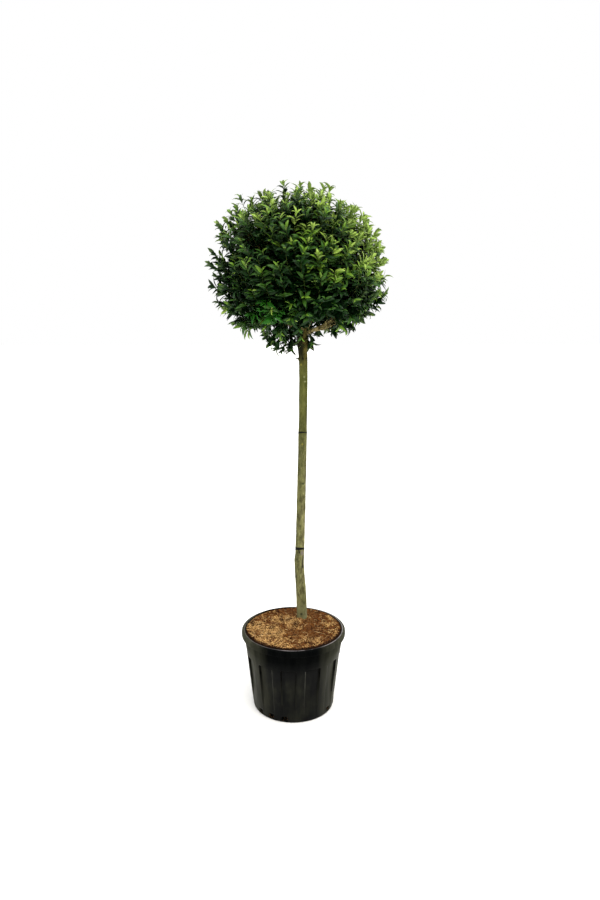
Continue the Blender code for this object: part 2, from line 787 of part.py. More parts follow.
def main():
    clear_scene()
    plastic = material("pot_plastic", (0.020, 0.021, 0.020), 0.5)
    compost = material("bark_compost", (0.230, 0.125, 0.055), 0.95)
    bark = material("stem_bark", (0.155, 0.165, 0.065), 0.75)
    rubber = material("tie_rubber", (0.012, 0.012, 0.012), 0.7)
    leafy = material("laurel_leaf", (0.035, 0.095, 0.018), 0.35)

    build_pot(plastic)
    build_compost(compost)
    build_stem(bark)
    for k, (height, depth) in enumerate(TIES):
        build_tie(f"stem_tie_{k + 1}", height, depth, rubber)

    anchors = mass_anchors()
    limbs = build_boughs(anchors, bark)
    every_limb = [stem_path()] + list(limbs.values())
    for k, name in enumerate(anchors):
        build_mass(name, anchors, every_limb, limbs[name], leafy, SEED + k)


main()
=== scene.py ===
"""Looks of the potted portuguese laurel standard: pot, compost, bark, and leaves that grow from its limbs."""

import math
import random

import bpy
import numpy as np
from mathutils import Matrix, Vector, noise


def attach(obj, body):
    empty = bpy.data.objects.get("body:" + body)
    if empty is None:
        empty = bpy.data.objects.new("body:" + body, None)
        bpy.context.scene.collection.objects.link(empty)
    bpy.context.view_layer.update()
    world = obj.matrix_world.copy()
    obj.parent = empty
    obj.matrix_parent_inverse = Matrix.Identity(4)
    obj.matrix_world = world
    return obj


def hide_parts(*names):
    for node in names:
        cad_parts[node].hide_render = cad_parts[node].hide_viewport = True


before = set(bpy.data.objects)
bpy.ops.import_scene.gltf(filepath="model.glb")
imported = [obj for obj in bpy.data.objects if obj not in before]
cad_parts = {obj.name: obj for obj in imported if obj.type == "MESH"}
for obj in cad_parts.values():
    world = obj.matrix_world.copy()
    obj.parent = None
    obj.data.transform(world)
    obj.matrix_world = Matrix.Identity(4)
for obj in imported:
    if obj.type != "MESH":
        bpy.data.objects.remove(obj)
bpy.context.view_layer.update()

SEED = 11
TURN = 2.0 * math.pi
GOLDEN_ANGLE = math.pi * (3.0 - math.sqrt(5.0))
UP = Vector((0.0, 0.0, 1.0))

# Camera: level, with its picture shifted down to take in the pot
CAMERA_PLACE = (0.0446, -4.739, 2.624)
CAMERA_LENS = 27.6
CAMERA_SENSOR = 36.0
CAMERA_SHIFT = -0.1467

# Nodes of the frame that the leaves and twigs stand for
MASSES = [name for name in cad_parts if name.startswith("foliage")]

# Pot, as in the solids
POT_HEIGHT = 0.500
RIM_RADIUS = 0.354
LIP_CREST_RADIUS = 0.3345
LIP_FOOT = 0.465
LIP_INSIDE = ((0.3327, 0.4985), (0.3318, 0.4950), (0.3314, 0.4880), (0.3300, 0.4680), (0.3280, 0.428))
FOOT_RADIUS = 0.270
FLUTE_TOP_RADIUS = 0.3215
FLUTED_HEIGHT = 0.366
FLUTED_FOOT = 0.010
FLUTED_RINGS = 34
# Heights of the rings that the slots and the ledge of the flutes need besides
EXTRA_RINGS = (0.013, 0.016, 0.022, 0.025, 0.028, 0.031, 0.345, 0.349, 0.3505, 0.3535, 0.356)
FLUTES = 12
STEPS_PER_FLUTE = 60
FLUTE_HALF_ANGLE = math.radians(9.0)
FLUTE_EDGE_ANGLE = math.radians(0.6)
FLUTE_PHASE = math.radians(-95.5)
FLUTE_DEPTH = 0.015
FLUTE_TOP = 0.352
FLUTE_FADE_TOP = 0.22
FLUTE_FADE_FOOT = 0.045
FLUTE_LEAST_SHARE = 0.18
# Lowest height of the painted shade and highlight lines on the flutes, and how far it wanders up
PAINTED_LINES_FOOT = 0.06
PAINTED_LINES_FADE = 0.10
HIGHLIGHT_HALF_ANGLE = math.radians(0.5)
# Turns round the pot of the ridge edges that carry a painted highlight
HIGHLIGHT_EDGES = tuple(math.radians(turn) for turn in (-115.4, -75.6, -45.6, 14.4, 104.4, 164.4))
DENT_DEPTH = 0.0011
DRAIN_HEIGHT = 0.022
DRAIN_HALF_HEIGHT = 0.016
DRAIN_HALF_WIDTH = 0.021
DRAIN_DEPTH = 0.016
DRAIN_FIRST = math.radians(-141.0)
DRAIN_STEP = math.radians(19.5)
DRAIN_GROUP_STEP = math.radians(108.0)
CRUMBS_IN_DRAIN = 13

# Compost
COMPOST_EDGE_HEIGHT = 0.494
COMPOST_TOP_HEIGHT = 0.505
COMPOST_RADIUS = 0.3315
COMPOST_STEPS = 160
COMPOST_RINGS = 46
COMPOST_SKIRT = 0.02
CRUMBS = 11500
CRUMB_SIZES = (0.0024, 0.0060)
DRAIN_CRUMB_SIZES = (0.0018, 0.0040)
CRUMBS_PER_STRAW = 120
STRAW_LENGTHS = (0.012, 0.046)
STRAW_WIDTHS = (0.0010, 0.0020)
STRAW_FROM_WALL = 0.030
CLEAR_OF_STEM = 0.037
# Finishes of the loose bits: dark and light tone, and roughness
LOOSE_BITS = {
    "crumbs_tan": ((0.27, 0.140, 0.042), (0.74, 0.460, 0.175), 0.9),
    "crumbs_red": ((0.050, 0.015, 0.003), (0.210, 0.076, 0.015), 0.9),
    "crumbs_dark": ((0.006, 0.002, 0.001), (0.034, 0.012, 0.004), 0.95),
    "straws": ((0.40, 0.24, 0.09), (0.72, 0.50, 0.24), 0.8),
    "drain_crumbs": ((0.008, 0.003, 0.001), (0.220, 0.100, 0.035), 0.95),
}

# Stem, as in the solids: (height, x) and (height, radius)
STEM_FOOT = Vector((0.059, 0.150, COMPOST_TOP_HEIGHT))
STEM_BENDS = (
    (0.505, 0.059), (0.700, 0.051), (0.870, 0.041), (0.960, 0.043), (1.250, 0.051),
    (1.620, 0.060), (2.100, 0.068), (2.330, 0.067), (2.430, 0.061), (2.570, 0.059),
)
STEM_RADII = (
    (0.505, 0.0350), (0.545, 0.0348), (0.700, 0.0350), (0.870, 0.033), (1.000, 0.031), (1.400, 0.0305),
    (2.000, 0.029), (2.300, 0.030), (2.380, 0.0325), (2.480, 0.0365), (2.540, 0.035), (2.570, 0.024),
)
STEM_BASE = 0.498
STEM_SIDES = 72
STEM_RINGS = 620
BARK_OUT = 0.0009
# Swellings and hollows of the stem, as (height, turn, reach up and down, reach round, swelling)
KNOTS = (
    (2.335, -90, 0.020, 26, 0.0030),
    (2.330, 172, 0.016, 24, 0.0045),
    (2.455, 10, 0.030, 40, 0.0030),
    (0.912, 178, 0.030, 42, 0.0040),
    (0.925, 5, 0.045, 26, -0.0010),
    (0.905, -32, 0.030, 8, -0.0035),
    (1.735, -62, 0.010, 16, 0.0012),
    (1.420, 150, 0.014, 20, 0.0014),
    (1.260, -30, 0.012, 18, 0.0013),
    (0.700, -120, 0.020, 26, 0.0018),
    (2.080, -140, 0.014, 20, 0.0015),
)
KNOT_REACHES = 2.2
KNOT_DARK = (0.004, 0.003, 0.002)
SPOT_PALE = (0.300, 0.300, 0.130)
SPOT_YELLOW = (0.260, 0.230, 0.040)
PATCH_GREY = (0.170, 0.140, 0.130)
# Marks on the front of the stem, as (x, height, half width, half height, colour)
STEM_MARKS = (
    (0.0650, 2.337, 0.0095, 0.0115, KNOT_DARK),
    (0.0890, 2.337, 0.0065, 0.0110, KNOT_DARK),
    (0.0520, 2.294, 0.0080, 0.0080, SPOT_YELLOW),
    (0.0800, 2.176, 0.0090, 0.0065, SPOT_PALE),
    (0.0740, 2.209, 0.0060, 0.0070, SPOT_PALE),
    (0.0610, 1.735, 0.0065, 0.0080, SPOT_YELLOW),
    (0.0660, 1.457, 0.0120, 0.0080, (0.035, 0.042, 0.018)),
    (0.0600, 0.968, 0.0120, 0.0180, PATCH_GREY),
    (0.0640, 0.905, 0.0080, 0.0420, KNOT_DARK),
    (0.0630, 0.872, 0.0105, 0.0120, KNOT_DARK),
    (0.0540, 0.541, 0.0100, 0.0090, (0.030, 0.036, 0.020)),
)
# Ties, as (height, depth), lower at the back by the tilt
TIES = ((0.992, 0.017), (1.811, 0.010))
TIE_TILT = 0.0075
TIE_SIDES = 64
TIE_RINGS = 20
STUB_HEIGHT = 2.336
STUB_REACH = Vector((-0.041, -0.010, -0.003))
SPUR_POINTS = 6

# Boughs, as in the solids
FORK_HEIGHT = 2.505
LEADER_HEIGHT = 2.560
UPPER_FORK_HEIGHT = 2.665
UPPER_FORK_STEP = 0.050
BOUGH_RADIUS = 0.0165
UPPER_BOUGH_RADIUS = 0.0130
BOUGH_TIP_RADIUS = 0.010
BOUGH_POINTS = 28
BOUGH_SIDES = 18
BOUGH_RELIEF = 0.0012
LEADER_RADIUS = 0.019
LEADER_SUNK = 0.030
LEADER_REACH = 0.60
LEADER_RISE = 0.50
LOWER_REACH = 0.52
LOWER_RISE = 0.40
UPPER_REACH = 0.58
UPPER_RISE = 0.35
FLAT_BOUGH_MASS = "foliage_lower_1"
FLAT_BOUGH_TIP = Vector((0.262, 0.108, 2.602))
BARE_TWIGS = 34
BARE_TWIG_POINTS = 8

# Head, as in the solids
HEAD_CENTRE = Vector((0.043, 0.150, 2.985))
HEAD_HALF_WIDTH = 0.63
LOWER_MASSES = 5
LOWER_OUT = 0.345
LOWER_HEIGHT = 2.820
LOWER_TURN = math.radians(-18.0)
UPPER_MASSES = 4
UPPER_OUT = 0.300
UPPER_HEIGHT = 3.150
UPPER_TURN = math.radians(20.0)
TOP_HEIGHT = 3.270

# How far the shoots reach from the head's axis, as (height, distance), towards -X and towards +X
HEAD_LEFT = (
    (2.39, 0.06), (2.44, 0.19), (2.51, 0.36), (2.58, 0.475), (2.68, 0.540), (2.82, 0.580),
    (3.00, 0.592), (3.20, 0.555), (3.33, 0.500), (3.42, 0.410), (3.47, 0.270), (3.50, 0.080),
)
HEAD_RIGHT = (
    (2.52, 0.16), (2.55, 0.39), (2.61, 0.50), (2.70, 0.56), (2.80, 0.590), (2.93, 0.610),
    (3.10, 0.575), (3.25, 0.520), (3.35, 0.450), (3.42, 0.370), (3.47, 0.250), (3.50, 0.080),
)
# Tips of the shoots that stand out of the head's outline, as (x, height)
LONE_SHOOTS = (
    (-0.070, 3.582), (0.045, 3.612), (0.225, 3.618), (0.270, 3.610), (-0.390, 3.490),
    (-0.200, 3.520), (-0.460, 3.385), (0.470, 3.440), (0.550, 3.310), (0.610, 3.240),
    (0.655, 3.140), (0.685, 2.935), (0.685, 2.800), (-0.560, 3.315), (-0.610, 3.110),
    (-0.615, 3.020), (-0.610, 2.865), (-0.510, 3.165), (-0.545, 3.000), (-0.560, 2.810),
    (-0.500, 2.680), (-0.490, 3.330), (-0.590, 2.940), (-0.575, 2.740), (-0.560, 3.230),
)
# How far in front of the head's axis and behind it they stand, and the ones at the top
LONE_SHOOTS_SPREAD = 0.12
TOP_SHOOTS_SPREAD = 0.22
TOP_SHOOTS_HEIGHT = 3.55
LONE_SHOOT_LEAF = 0.040
# Tips of the shoots that hang lowest, left of the stem and in a small tuft on its right, as (x, height)
LOW_SHOOTS = (
    (0.005, 2.450), (-0.030, 2.410), (-0.075, 2.400), (-0.120, 2.415), (-0.160, 2.445),
    (-0.050, 2.465), (-0.110, 2.485), (-0.190, 2.495), (0.108, 2.430), (0.128, 2.460),
)
LOW_SHOOT_LENGTH = 0.13
# Places where the sky shows through the leaves, as (x, height, radius)
SKY_GAPS = (
    (-0.462, 3.085, 0.026), (-0.154, 2.548, 0.020), (-0.106, 2.588, 0.014), (-0.035, 2.567, 0.016),
    (-0.253, 2.520, 0.024), (-0.111, 2.472, 0.012), (0.216, 2.652, 0.016), (-0.415, 2.629, 0.020),
    (0.525, 2.923, 0.016), (-0.486, 2.776, 0.018), (0.453, 3.066, 0.014), (0.515, 3.180, 0.018),
    (-0.120, 3.436, 0.018), (0.288, 3.426, 0.018), (-0.339, 3.400, 0.022),
)
# The hollow under the head beside the fork, where no leaf grows: its roof rises along the flat bough
HOLLOW_LEFT = 0.070
HOLLOW_RIGHT = 0.255
HOLLOW_BACK = 0.200
HOLLOW_TOP = 2.560
HOLLOW_RISE = 0.36
# Shoots whose tips are lower than this keep their leaves in the gaps and in the hollow
KEPT_WHOLE_HEIGHT = HOLLOW_TOP - 0.09

# Shoots and leaves
OUTER_SHOOTS = 540
OUTER_REACH = (-0.095, 0.005)
INNER_SHOOTS = 420
INNER_DEPTHS = (0.10, 0.27)
SHOOT_LENGTH = 0.19
SHOOT_LEAVES = 15
SHOOT_RADIUS = 0.0022
SHOOT_TIP_RADIUS = 0.0011
SHOOT_POINTS = 7
SHOOTS_IN_SPRAY = 9
BRANCH_RADII = (0.0088, 0.0046)
BRANCH_POINTS = 9
TWIG_RADIUS = 0.0036
TWIG_POINTS = 6
LEAF_LENGTH = 0.090
LEAF_WIDTH = 0.0275
LEAF_THICKNESS = 0.0011
# Share of the leaf's length and of its width, at its inner rows of vertices
LEAF_STATIONS = ((0.14, 0.55), (0.34, 0.97), (0.58, 0.90), (0.80, 0.50))
LEAF_BENDS = (0.50, 1.00, 1.55)
LEAF_FOLDS = (0.14, 0.36)
LEAF_ROUGHNESS = 0.36
MOST_FACES = 190000

# Tones of the leaves: upper side, underside and how glossy they are. They are painted light and shade as well
# as the leaves' own colours: deep and dark for the shade inside the head, bright and fresh for the light on
# its top and right, fresh also for the new growth at the shoots' tips.
TONES = {
    "deep": ((0.0004, 0.0070, 0.0003), (0.002, 0.010, 0.001), 0.02),
    "dark": ((0.0060, 0.0300, 0.0034), (0.018, 0.045, 0.013), 0.15),
    "mid": ((0.0340, 0.0980, 0.0105), (0.078, 0.132, 0.044), 0.19),
    "bright": ((0.1300, 0.2550, 0.0200), (0.170, 0.265, 0.062), 0.20),
    "fresh": ((0.2850, 0.4300, 0.0640), (0.310, 0.440, 0.110), 0.24),
    "emerald": ((0.0180, 0.1150, 0.0060), (0.035, 0.140, 0.018), 0.16),
}
TONE_ORDER = ("deep", "dark", "mid", "bright", "fresh")
EMERALD_PLACE = Vector((-0.206, -0.24, 2.670))
EMERALD_REACH = Vector((0.195, 0.140, 0.070))
EMERALD_SHARE = 0.80
LOW_LIGHT_HEIGHT = 2.53
LOW_LIGHT = 1.50
# How much the light varies from shoot to shoot, for the ball's outer shoots and for the other kinds
OUTER_VARIETY = 0.85
INNER_VARIETY = 0.35
LONE_VARIETY = 0.30

# Studio
STUDIO_FRONT = 0.16
STUDIO_BACK = 1.0
STUDIO_ABOVE = 1.95
KEY_PLACE = (1.0, -1.7, 4.6)
KEY_STRENGTH = 2.6
KEY_SOFTNESS = math.radians(65.0)
KEY_COLOUR = (1.0, 0.97, 0.90)
FLOOR_REACH = 60.0


def clamp(value, low=0.0, high=1.0):
    return min(max(value, low), high)


def smooth_step(low, high, value):
    t = clamp((value - low) / (high - low))
    return t * t * (3.0 - 2.0 * t)


def signed_root(value):
    return math.copysign(abs(value) ** 0.5, value)


def turn_between(angle, other, whole=TURN):
    """The smaller turn between two angles, where a whole turn brings back the same place."""
    return abs((angle - other + whole / 2) % whole - whole / 2)


def flat_noise(x, y, scale, layer):
    return noise.noise(Vector((x * scale, y * scale, layer)))


def random_vector(chance, size):
    return Vector((chance.gauss(0, 1), chance.gauss(0, 1), chance.gauss(0, 1))) * size


def between(table, height):
    """The value at a height in a table of (height, value), on a smooth curve through its entries."""
    last = len(table) - 2
    at = max(i for i in range(last + 1) if i == 0 or table[i][0] <= height)
    low, high = table[at], table[at + 1]
    span = high[0] - low[0]
    before = table[at - 1] if at > 0 else low
    after = table[at + 2] if at < last else high
    slope_low = (high[1] - before[1]) / (high[0] - before[0])
    slope_high = (after[1] - low[1]) / (after[0] - low[0])
    t = clamp((height - low[0]) / span)
    return (
        (2 * t**3 - 3 * t**2 + 1) * low[1]
        + (t**3 - 2 * t**2 + t) * span * slope_low
        + (-2 * t**3 + 3 * t**2) * high[1]
        + (t**3 - t**2) * span * slope_high
    )


# Materials

class Graph:
    """Short ways to build a node tree. Each adds a step and gives its result, to use in the next one."""

    def __init__(self, tree, coordinates="Object"):
        self.tree = tree
        self.place = self.add("TexCoord", coordinates, {})

    def set(self, socket, value):
        """Links a socket to a result, or gives it a number, a direction or a colour."""
        if isinstance(value, bpy.types.NodeSocket):
            self.tree.links.new(value, socket)
        elif isinstance(value, tuple) and len(socket.default_value) == 4:
            socket.default_value = (*value, 1.0)
        else:
            socket.default_value = value

    def add(self, kind, result, inputs, **settings):
        node = self.tree.nodes.new("ShaderNode" + kind)
        for name, value in settings.items():
            setattr(node, name, value)
        for name, value in inputs.items():
            self.set(node.inputs[name], value)
        return node.outputs[result]

    def along(self, axis):
        return self.add("SeparateXYZ", axis, {"Vector": self.place})

    def moved(self, scale, shift=(0.0, 0.0, 0.0)):
        return self.add("Mapping", "Vector", {"Vector": self.place, "Scale": scale, "Location": shift})

    def away(self, scale, shift):
        """How far a place is from the origin, once scaled and shifted."""
        return self.add("VectorMath", "Value", {0: self.moved(scale, shift)}, operation="LENGTH")

    def texture(self, scale, detail=4.0, roughness=0.5, stretch=(1.0, 1.0, 1.0)):
        """A noise texture, squeezed along each axis by stretch."""
        inputs = {"Vector": self.moved(stretch), "Scale": scale, "Detail": detail, "Roughness": roughness}
        return self.add("TexNoise", "Fac", inputs)

    def ramp(self, source, *stops):
        """Colours on a texture's value, from (position, colour) stops."""
        node = self.tree.nodes.new("ShaderNodeValToRGB")
        elements = node.color_ramp.elements
        for element, (position, colour) in ((elements[0], stops[0]), (elements[1], stops[-1])):
            element.position = position
            element.color = (*colour, 1.0)
        for position, colour in stops[1:-1]:
            elements.new(position).color = (*colour, 1.0)
        self.set(node.inputs["Fac"], source)
        return node.outputs["Color"]

    def spread(self, source, low, high, start=0.3, end=0.7):
        """A value of a texture spread between two limits."""
        inputs = {"From Min": start, "From Max": end, "To Min": low, "To Max": high, "Value": source}
        return self.add("MapRange", "Result", inputs)

    def math(self, operation, *values):
        return self.add("Math", "Value", dict(enumerate(values)), operation=operation)

    def product(self, first, second):
        return self.math("MULTIPLY", first, second)

    def mix(self, share, first, second, blend="MIX"):
        inputs = {"Factor": share, "A": first, "B": second}
        return self.add("Mix", "Result", inputs, data_type="RGBA", blend_type=blend)


class Finish(Graph):
    """A material in the making: a plain shader, and what drives it."""

    def __init__(self, name, colour, roughness, specular=0.5):
        self.material = bpy.data.materials.new(name)
        self.material.use_nodes = True
        super().__init__(self.material.node_tree)
        self.shader = self.tree.nodes["Principled BSDF"]
        self.give("Base Color", colour)
        self.give("Roughness", roughness)
        self.give("Specular IOR Level", specular)

    def give(self, name, value):
        self.set(self.shader.inputs[name], value)

    def bump(self, source, strength, distance):
        inputs = {"Height": source, "Strength": strength, "Distance": distance}
        self.give("Normal", self.add("Bump", "Normal", inputs))


def shade(colour, factor):
    return tuple(channel * factor for channel in colour)


def pot_plastic():
    """Black moulded plastic: dusty low down, darker under the lip, lighter on its left and right sides as
    painted light, with a painted highlight along the lip's crest, fainter on the left.
    """
    wall = Finish("pot plastic", (0.02, 0.021, 0.019), 0.5)
    dust = wall.texture(7.0, 6.0, 0.6)
    streak = wall.texture(30.0, 4.0, 0.55, (1.0, 1.0, 0.06))
    # Darker on the upper wall and the lip, dusty lower down
    upper_dark = wall.ramp(streak, (0.3, (0.0008, 0.0010, 0.0011)), (0.72, (0.0026, 0.0030, 0.0030)))
    dusty = wall.ramp(streak, (0.3, (0.0060, 0.0066, 0.0048)), (0.75, (0.0190, 0.0190, 0.0125)))
    # Painted light: a lighter colour for the pot's sides
    side = wall.ramp(streak, (0.3, (0.0305, 0.0315, 0.0210)), (0.75, (0.0720, 0.0720, 0.0500)))
    crest_highlight = wall.ramp(dust, (0.38, (0.02, 0.019, 0.020)), (0.6, (0.26, 0.24, 0.24)))
    x, z = wall.along("X"), wall.along("Z")
    low = wall.spread(z, 1.0, 0.06, 0.22, 0.38)
    colour = wall.mix(wall.product(wall.spread(dust, 0.05, 1.0, 0.42, 0.66), low), upper_dark, dusty)
    # Painted light: the pot's left and right sides take the lighter side colour
    aside = wall.spread(wall.math("ABSOLUTE", x), 0.0, 0.90, 0.16, 0.31)
    colour = wall.mix(wall.product(aside, wall.spread(z, 1.0, 0.90, 0.30, 0.45)), colour, side)
    # Painted highlight along the lip's crest, fainter on the left
    crest = wall.spread(z, 0.0, 1.0, POT_HEIGHT - 0.0020, POT_HEIGHT - 0.0008)
    painted_highlight = wall.spread(x, 0.25, 1.0, -0.14, 0.04)
    wall.give("Base Color", wall.mix(wall.product(crest, painted_highlight), colour, crest_highlight))
    wall.give("Specular IOR Level", wall.spread(z, 0.05, 0.004, 0.32, 0.41))
    wall.give("Roughness", wall.spread(dust, 0.36, 0.58))
    wall.bump(wall.texture(420.0, 2.0), 0.25, 0.0006)
    return wall.material


def fade_down(finish, colour):
    """Gives a painted shade or highlight colour to the upper wall and the slots, and lets it turn dusty
    between them.
    """
    z = finish.along("Z")
    share = finish.product(finish.spread(z, 1.0, 0.0, 0.17, 0.30), finish.spread(z, 0.0, 1.0, 0.042, 0.050))
    finish.give("Base Color", finish.mix(share, colour, (0.0130, 0.0135, 0.0105)))


def pot_painted_shade():
    """Painted shade: black on the walls of the flutes, in the drain slots and in a line under the flutes'
    ledge.
    """
    groove = Finish("pot painted shade", (0.0015, 0.0015, 0.0015), 0.8, 0.01)
    streak = groove.texture(40.0, 3.0)
    fade_down(groove, groove.ramp(streak, (0.4, (0.0012, 0.0012, 0.0011)), (0.65, (0.0060, 0.0061, 0.0050))))
    return groove.material


def pot_edge_highlight():
    """Painted highlight on the edges of some ridges between the flutes."""
    edge = Finish("pot edge highlight", (0.035, 0.035, 0.029), 0.5, 0.05)
    streak = edge.texture(22.0, 4.0, 0.6, (1.0, 1.0, 0.5))
    fade_down(edge, edge.ramp(streak, (0.36, (0.0130, 0.0135, 0.0110)), (0.62, (0.0480, 0.0490, 0.0400))))
    return edge.material


def compost_soil():
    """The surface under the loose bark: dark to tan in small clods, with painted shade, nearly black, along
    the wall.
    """
    soil = Finish("compost soil", (0.16, 0.09, 0.045), 0.95, 0.08)
    clods = soil.texture(95.0, 8.0, 0.65)
    brown_stops = (0.34, (0.020, 0.008, 0.003)), (0.5, (0.10, 0.038, 0.013)), (0.68, (0.21, 0.095, 0.035))
    tan_stops = (0.34, (0.045, 0.020, 0.008)), (0.5, (0.19, 0.095, 0.034)), (0.68, (0.37, 0.21, 0.085))
    share = soil.spread(soil.texture(7.0, 3.0), 0.0, 1.0, 0.42, 0.6)
    lit = soil.mix(share, soil.ramp(clods, *brown_stops), soil.ramp(clods, *tan_stops))
    # Painted shade: the soil turns nearly black along the wall, widest at the front
    away = soil.away((1.0, 1.0, 0.0), (0.0, -0.019, 0.0))
    shaded = soil.spread(away, 0.0, 1.0, COMPOST_RADIUS - 0.019, COMPOST_RADIUS - 0.009)
    soil.give("Base Color", soil.mix(shaded, lit, (0.006, 0.003, 0.001)))
    soil.bump(clods, 0.9, 0.004)
    return soil.material


def loose_bit(name):
    """Bark crumbs and fibres: one tone that varies a little from bit to bit."""
    dark, light, roughness = LOOSE_BITS[name]
    bit = Finish(name.replace("_", " "), dark, roughness, 0.04)
    tone = bit.texture(60.0, 3.0)
    bit.give("Base Color", bit.ramp(tone, (0.35, dark), (0.65, light)))
    bit.bump(tone, 0.4, 0.001)
    return bit.material


def bark(name, olive, pale, dark, scale, streak):
    """Smooth bark: long streaks, pale flecks and darker patches. Gives its colour too, to add to."""
    made = Finish(name, olive, 0.7, 0.10)
    patch = made.texture(scale, 6.0, 0.65, (1.0, 1.0, streak))
    mottle = made.texture(4.5 * scale, 4.0, 0.6, (1.0, 1.0, 0.45))
    fleck = made.texture(11.0 * scale, 3.0, 0.6, (1.0, 1.0, 0.5))
    grain = made.texture(30.0 * scale, 3.0, 0.5, (1.0, 1.0, 0.12))
    ground = made.ramp(patch, (0.36, dark), (0.48, olive), (0.62, pale))
    flecks = made.ramp(patch, (0.4, pale), (0.6, shade(pale, 1.7)))
    colour = made.mix(made.spread(fleck, 0.0, 0.65, 0.56, 0.68), ground, flecks)
    colour = made.mix(made.spread(fleck, 0.6, 0.0, 0.30, 0.42), colour, shade(dark, 0.45))
    shades = (0.36, (0.55, 0.52, 0.50)), (0.5, (1.0, 1.0, 1.0)), (0.64, (1.42, 1.40, 1.34))
    colour = made.mix(1.0, colour, made.ramp(mottle, *shades), "MULTIPLY")
    made.give("Base Color", colour)
    made.give("Roughness", made.spread(fleck, 0.62, 0.85))
    made.bump(grain, 0.5, 0.0012)
    return made, colour


def stem_bark():
    """Olive bark, fresher up the stem, greyer at the foot, and brown at the fork, with painted shade, nearly
    black, on its left under the head.
    """
    tones = (0.108, 0.108, 0.038), (0.180, 0.172, 0.075), (0.056, 0.056, 0.018)
    made, colour = bark("stem bark", *tones, 9.0, 0.16)
    wave = made.texture(26.0, 4.0, 0.6, (1.0, 1.0, 0.5))
    # Painted shade: nearly black for the left of the stem's top, under the head
    dark = made.ramp(wave, (0.38, (0.0015, 0.0010, 0.0005)), (0.62, (0.0140, 0.0090, 0.0040)))
    brown = made.ramp(wave, (0.38, (0.026, 0.020, 0.004)), (0.62, (0.135, 0.108, 0.024)))
    foot = made.ramp(wave, (0.38, (0.13, 0.125, 0.055)), (0.66, (0.26, 0.26, 0.14)))
    fresh = made.ramp(wave, (0.38, (0.060, 0.070, 0.008)), (0.66, (0.135, 0.140, 0.024)))
    fork = made.mix(made.spread(made.along("X"), 0.0, 1.0, 0.058, 0.076), dark, brown)
    z = made.along("Z")
    colour = made.mix(made.spread(z, 0.75, 0.0, 0.53, 0.64), colour, foot)
    colour = made.mix(made.spread(z, 0.0, 0.75, 1.65, 2.15), colour, fresh)
    # Mixes the painted shade and the brown bark in at the stem's top
    colour = made.mix(made.spread(z, 0.0, 0.90, 2.250, 2.370), colour, fork)
    for x, height, wide, tall, mark in STEM_MARKS:
        centre = on_stem_front(x, height)
        scale = (1.0 / wide, 1.0 / wide, 1.0 / tall)
        away = made.away(scale, (-centre.x / wide, -centre.y / wide, -centre.z / tall))
        colour = made.mix(made.spread(away, 0.85, 0.0, 0.5, 1.3), colour, mark)
    made.give("Base Color", colour)
    return made.material


def leaf_top(name, colour, gloss):
    """Glossy upper side of a leaf: a plain colour that drifts a little, with shallow quilting."""
    leaf = Finish(name, colour, LEAF_ROUGHNESS, gloss)
    drift = leaf.texture(14.0, 3.0)
    quilt = leaf.texture(170.0, 2.0)
    stops = (0.32, shade(colour, 0.72)), (0.5, colour), (0.68, shade(colour, 1.32))
    leaf.give("Base Color", leaf.ramp(drift, *stops))
    leaf.give("Roughness", leaf.spread(quilt, LEAF_ROUGHNESS - 0.06, LEAF_ROUGHNESS + 0.1))
    leaf.bump(quilt, 0.25, 0.0012)
    return leaf.material


def leaf_under(name, colour, gloss):
    """Matt paler underside of a leaf."""
    leaf = Finish(name, colour, 0.62, 0.5 * gloss)
    drift = leaf.texture(60.0, 2.0)
    leaf.give("Base Color", leaf.ramp(drift, (0.35, shade(colour, 0.85)), (0.65, shade(colour, 1.15))))
    return leaf.material


def rubber():
    tie = Finish("tie rubber", (0.003, 0.003, 0.003), 0.75, 0.12)
    wear = tie.texture(130.0, 3.0)
    tie.give("Base Color", tie.ramp(wear, (0.4, (0.0015, 0.0015, 0.0012)), (0.7, (0.006, 0.006, 0.005))))
    tie.bump(wear, 0.3, 0.0005)
    return tie.material


# Mesh helpers

def mesh_object(name, vertices, faces, materials, slots=None, smooth=True):
    """An object from arrays of vertices and faces, with the index of each face's material."""
    mesh = bpy.data.meshes.new(name)
    corners = [list(map(int, face)) for face in faces]
    mesh.from_pydata(np.asarray(vertices, dtype=float).tolist(), [], corners)
    for finish in materials:
        mesh.materials.append(finish)
    if slots is not None:
        mesh.polygons.foreach_set("material_index", np.asarray(slots, dtype=np.int32))
    mesh.polygons.foreach_set("use_smooth", np.full(len(mesh.polygons), smooth))
    mesh.update()
    made = bpy.data.objects.new(name, mesh)
    bpy.context.scene.collection.objects.link(made)
    return made


def piece(made, slot_name, *nodes):
    """Lets a finished object ride on the part and hides the solids of the nodes it stands for. slot_name is
    not used.
    """
    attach(made, "root")
    if nodes:
        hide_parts(*nodes)


class Soup:
    """Vertices and faces gathered from many small shapes, to make one joined mesh."""

    def __init__(self):
        self.vertices = []
        self.faces = []
        self.count = 0

    def add(self, vertices, faces):
        self.vertices.append(np.asarray(vertices, dtype=float))
        self.faces += [[corner + self.count for corner in face] for face in faces]
        self.count += len(vertices)

    def object(self, name, finish, smooth=True):
        return mesh_object(name, np.concatenate(self.vertices), self.faces, [finish], smooth=smooth)


def band(first, second, sides):
    """Quads between two rings of vertices, from the numbers of their first vertices."""
    after = [(k + 1) % sides for k in range(sides)]
    return [(first + k, first + after[k], second + after[k], second + k) for k in range(sides)]


def ring_faces(rings, sides, closed_ends=True):
    """Quads between rings of the same number of vertices, with a cap on each end."""
    faces = []
    for i in range(rings - 1):
        faces += band(i * sides, (i + 1) * sides, sides)
    if closed_ends:
        faces.append(tuple(reversed(range(sides))))
        faces.append(tuple(range((rings - 1) * sides, rings * sides)))
    return faces


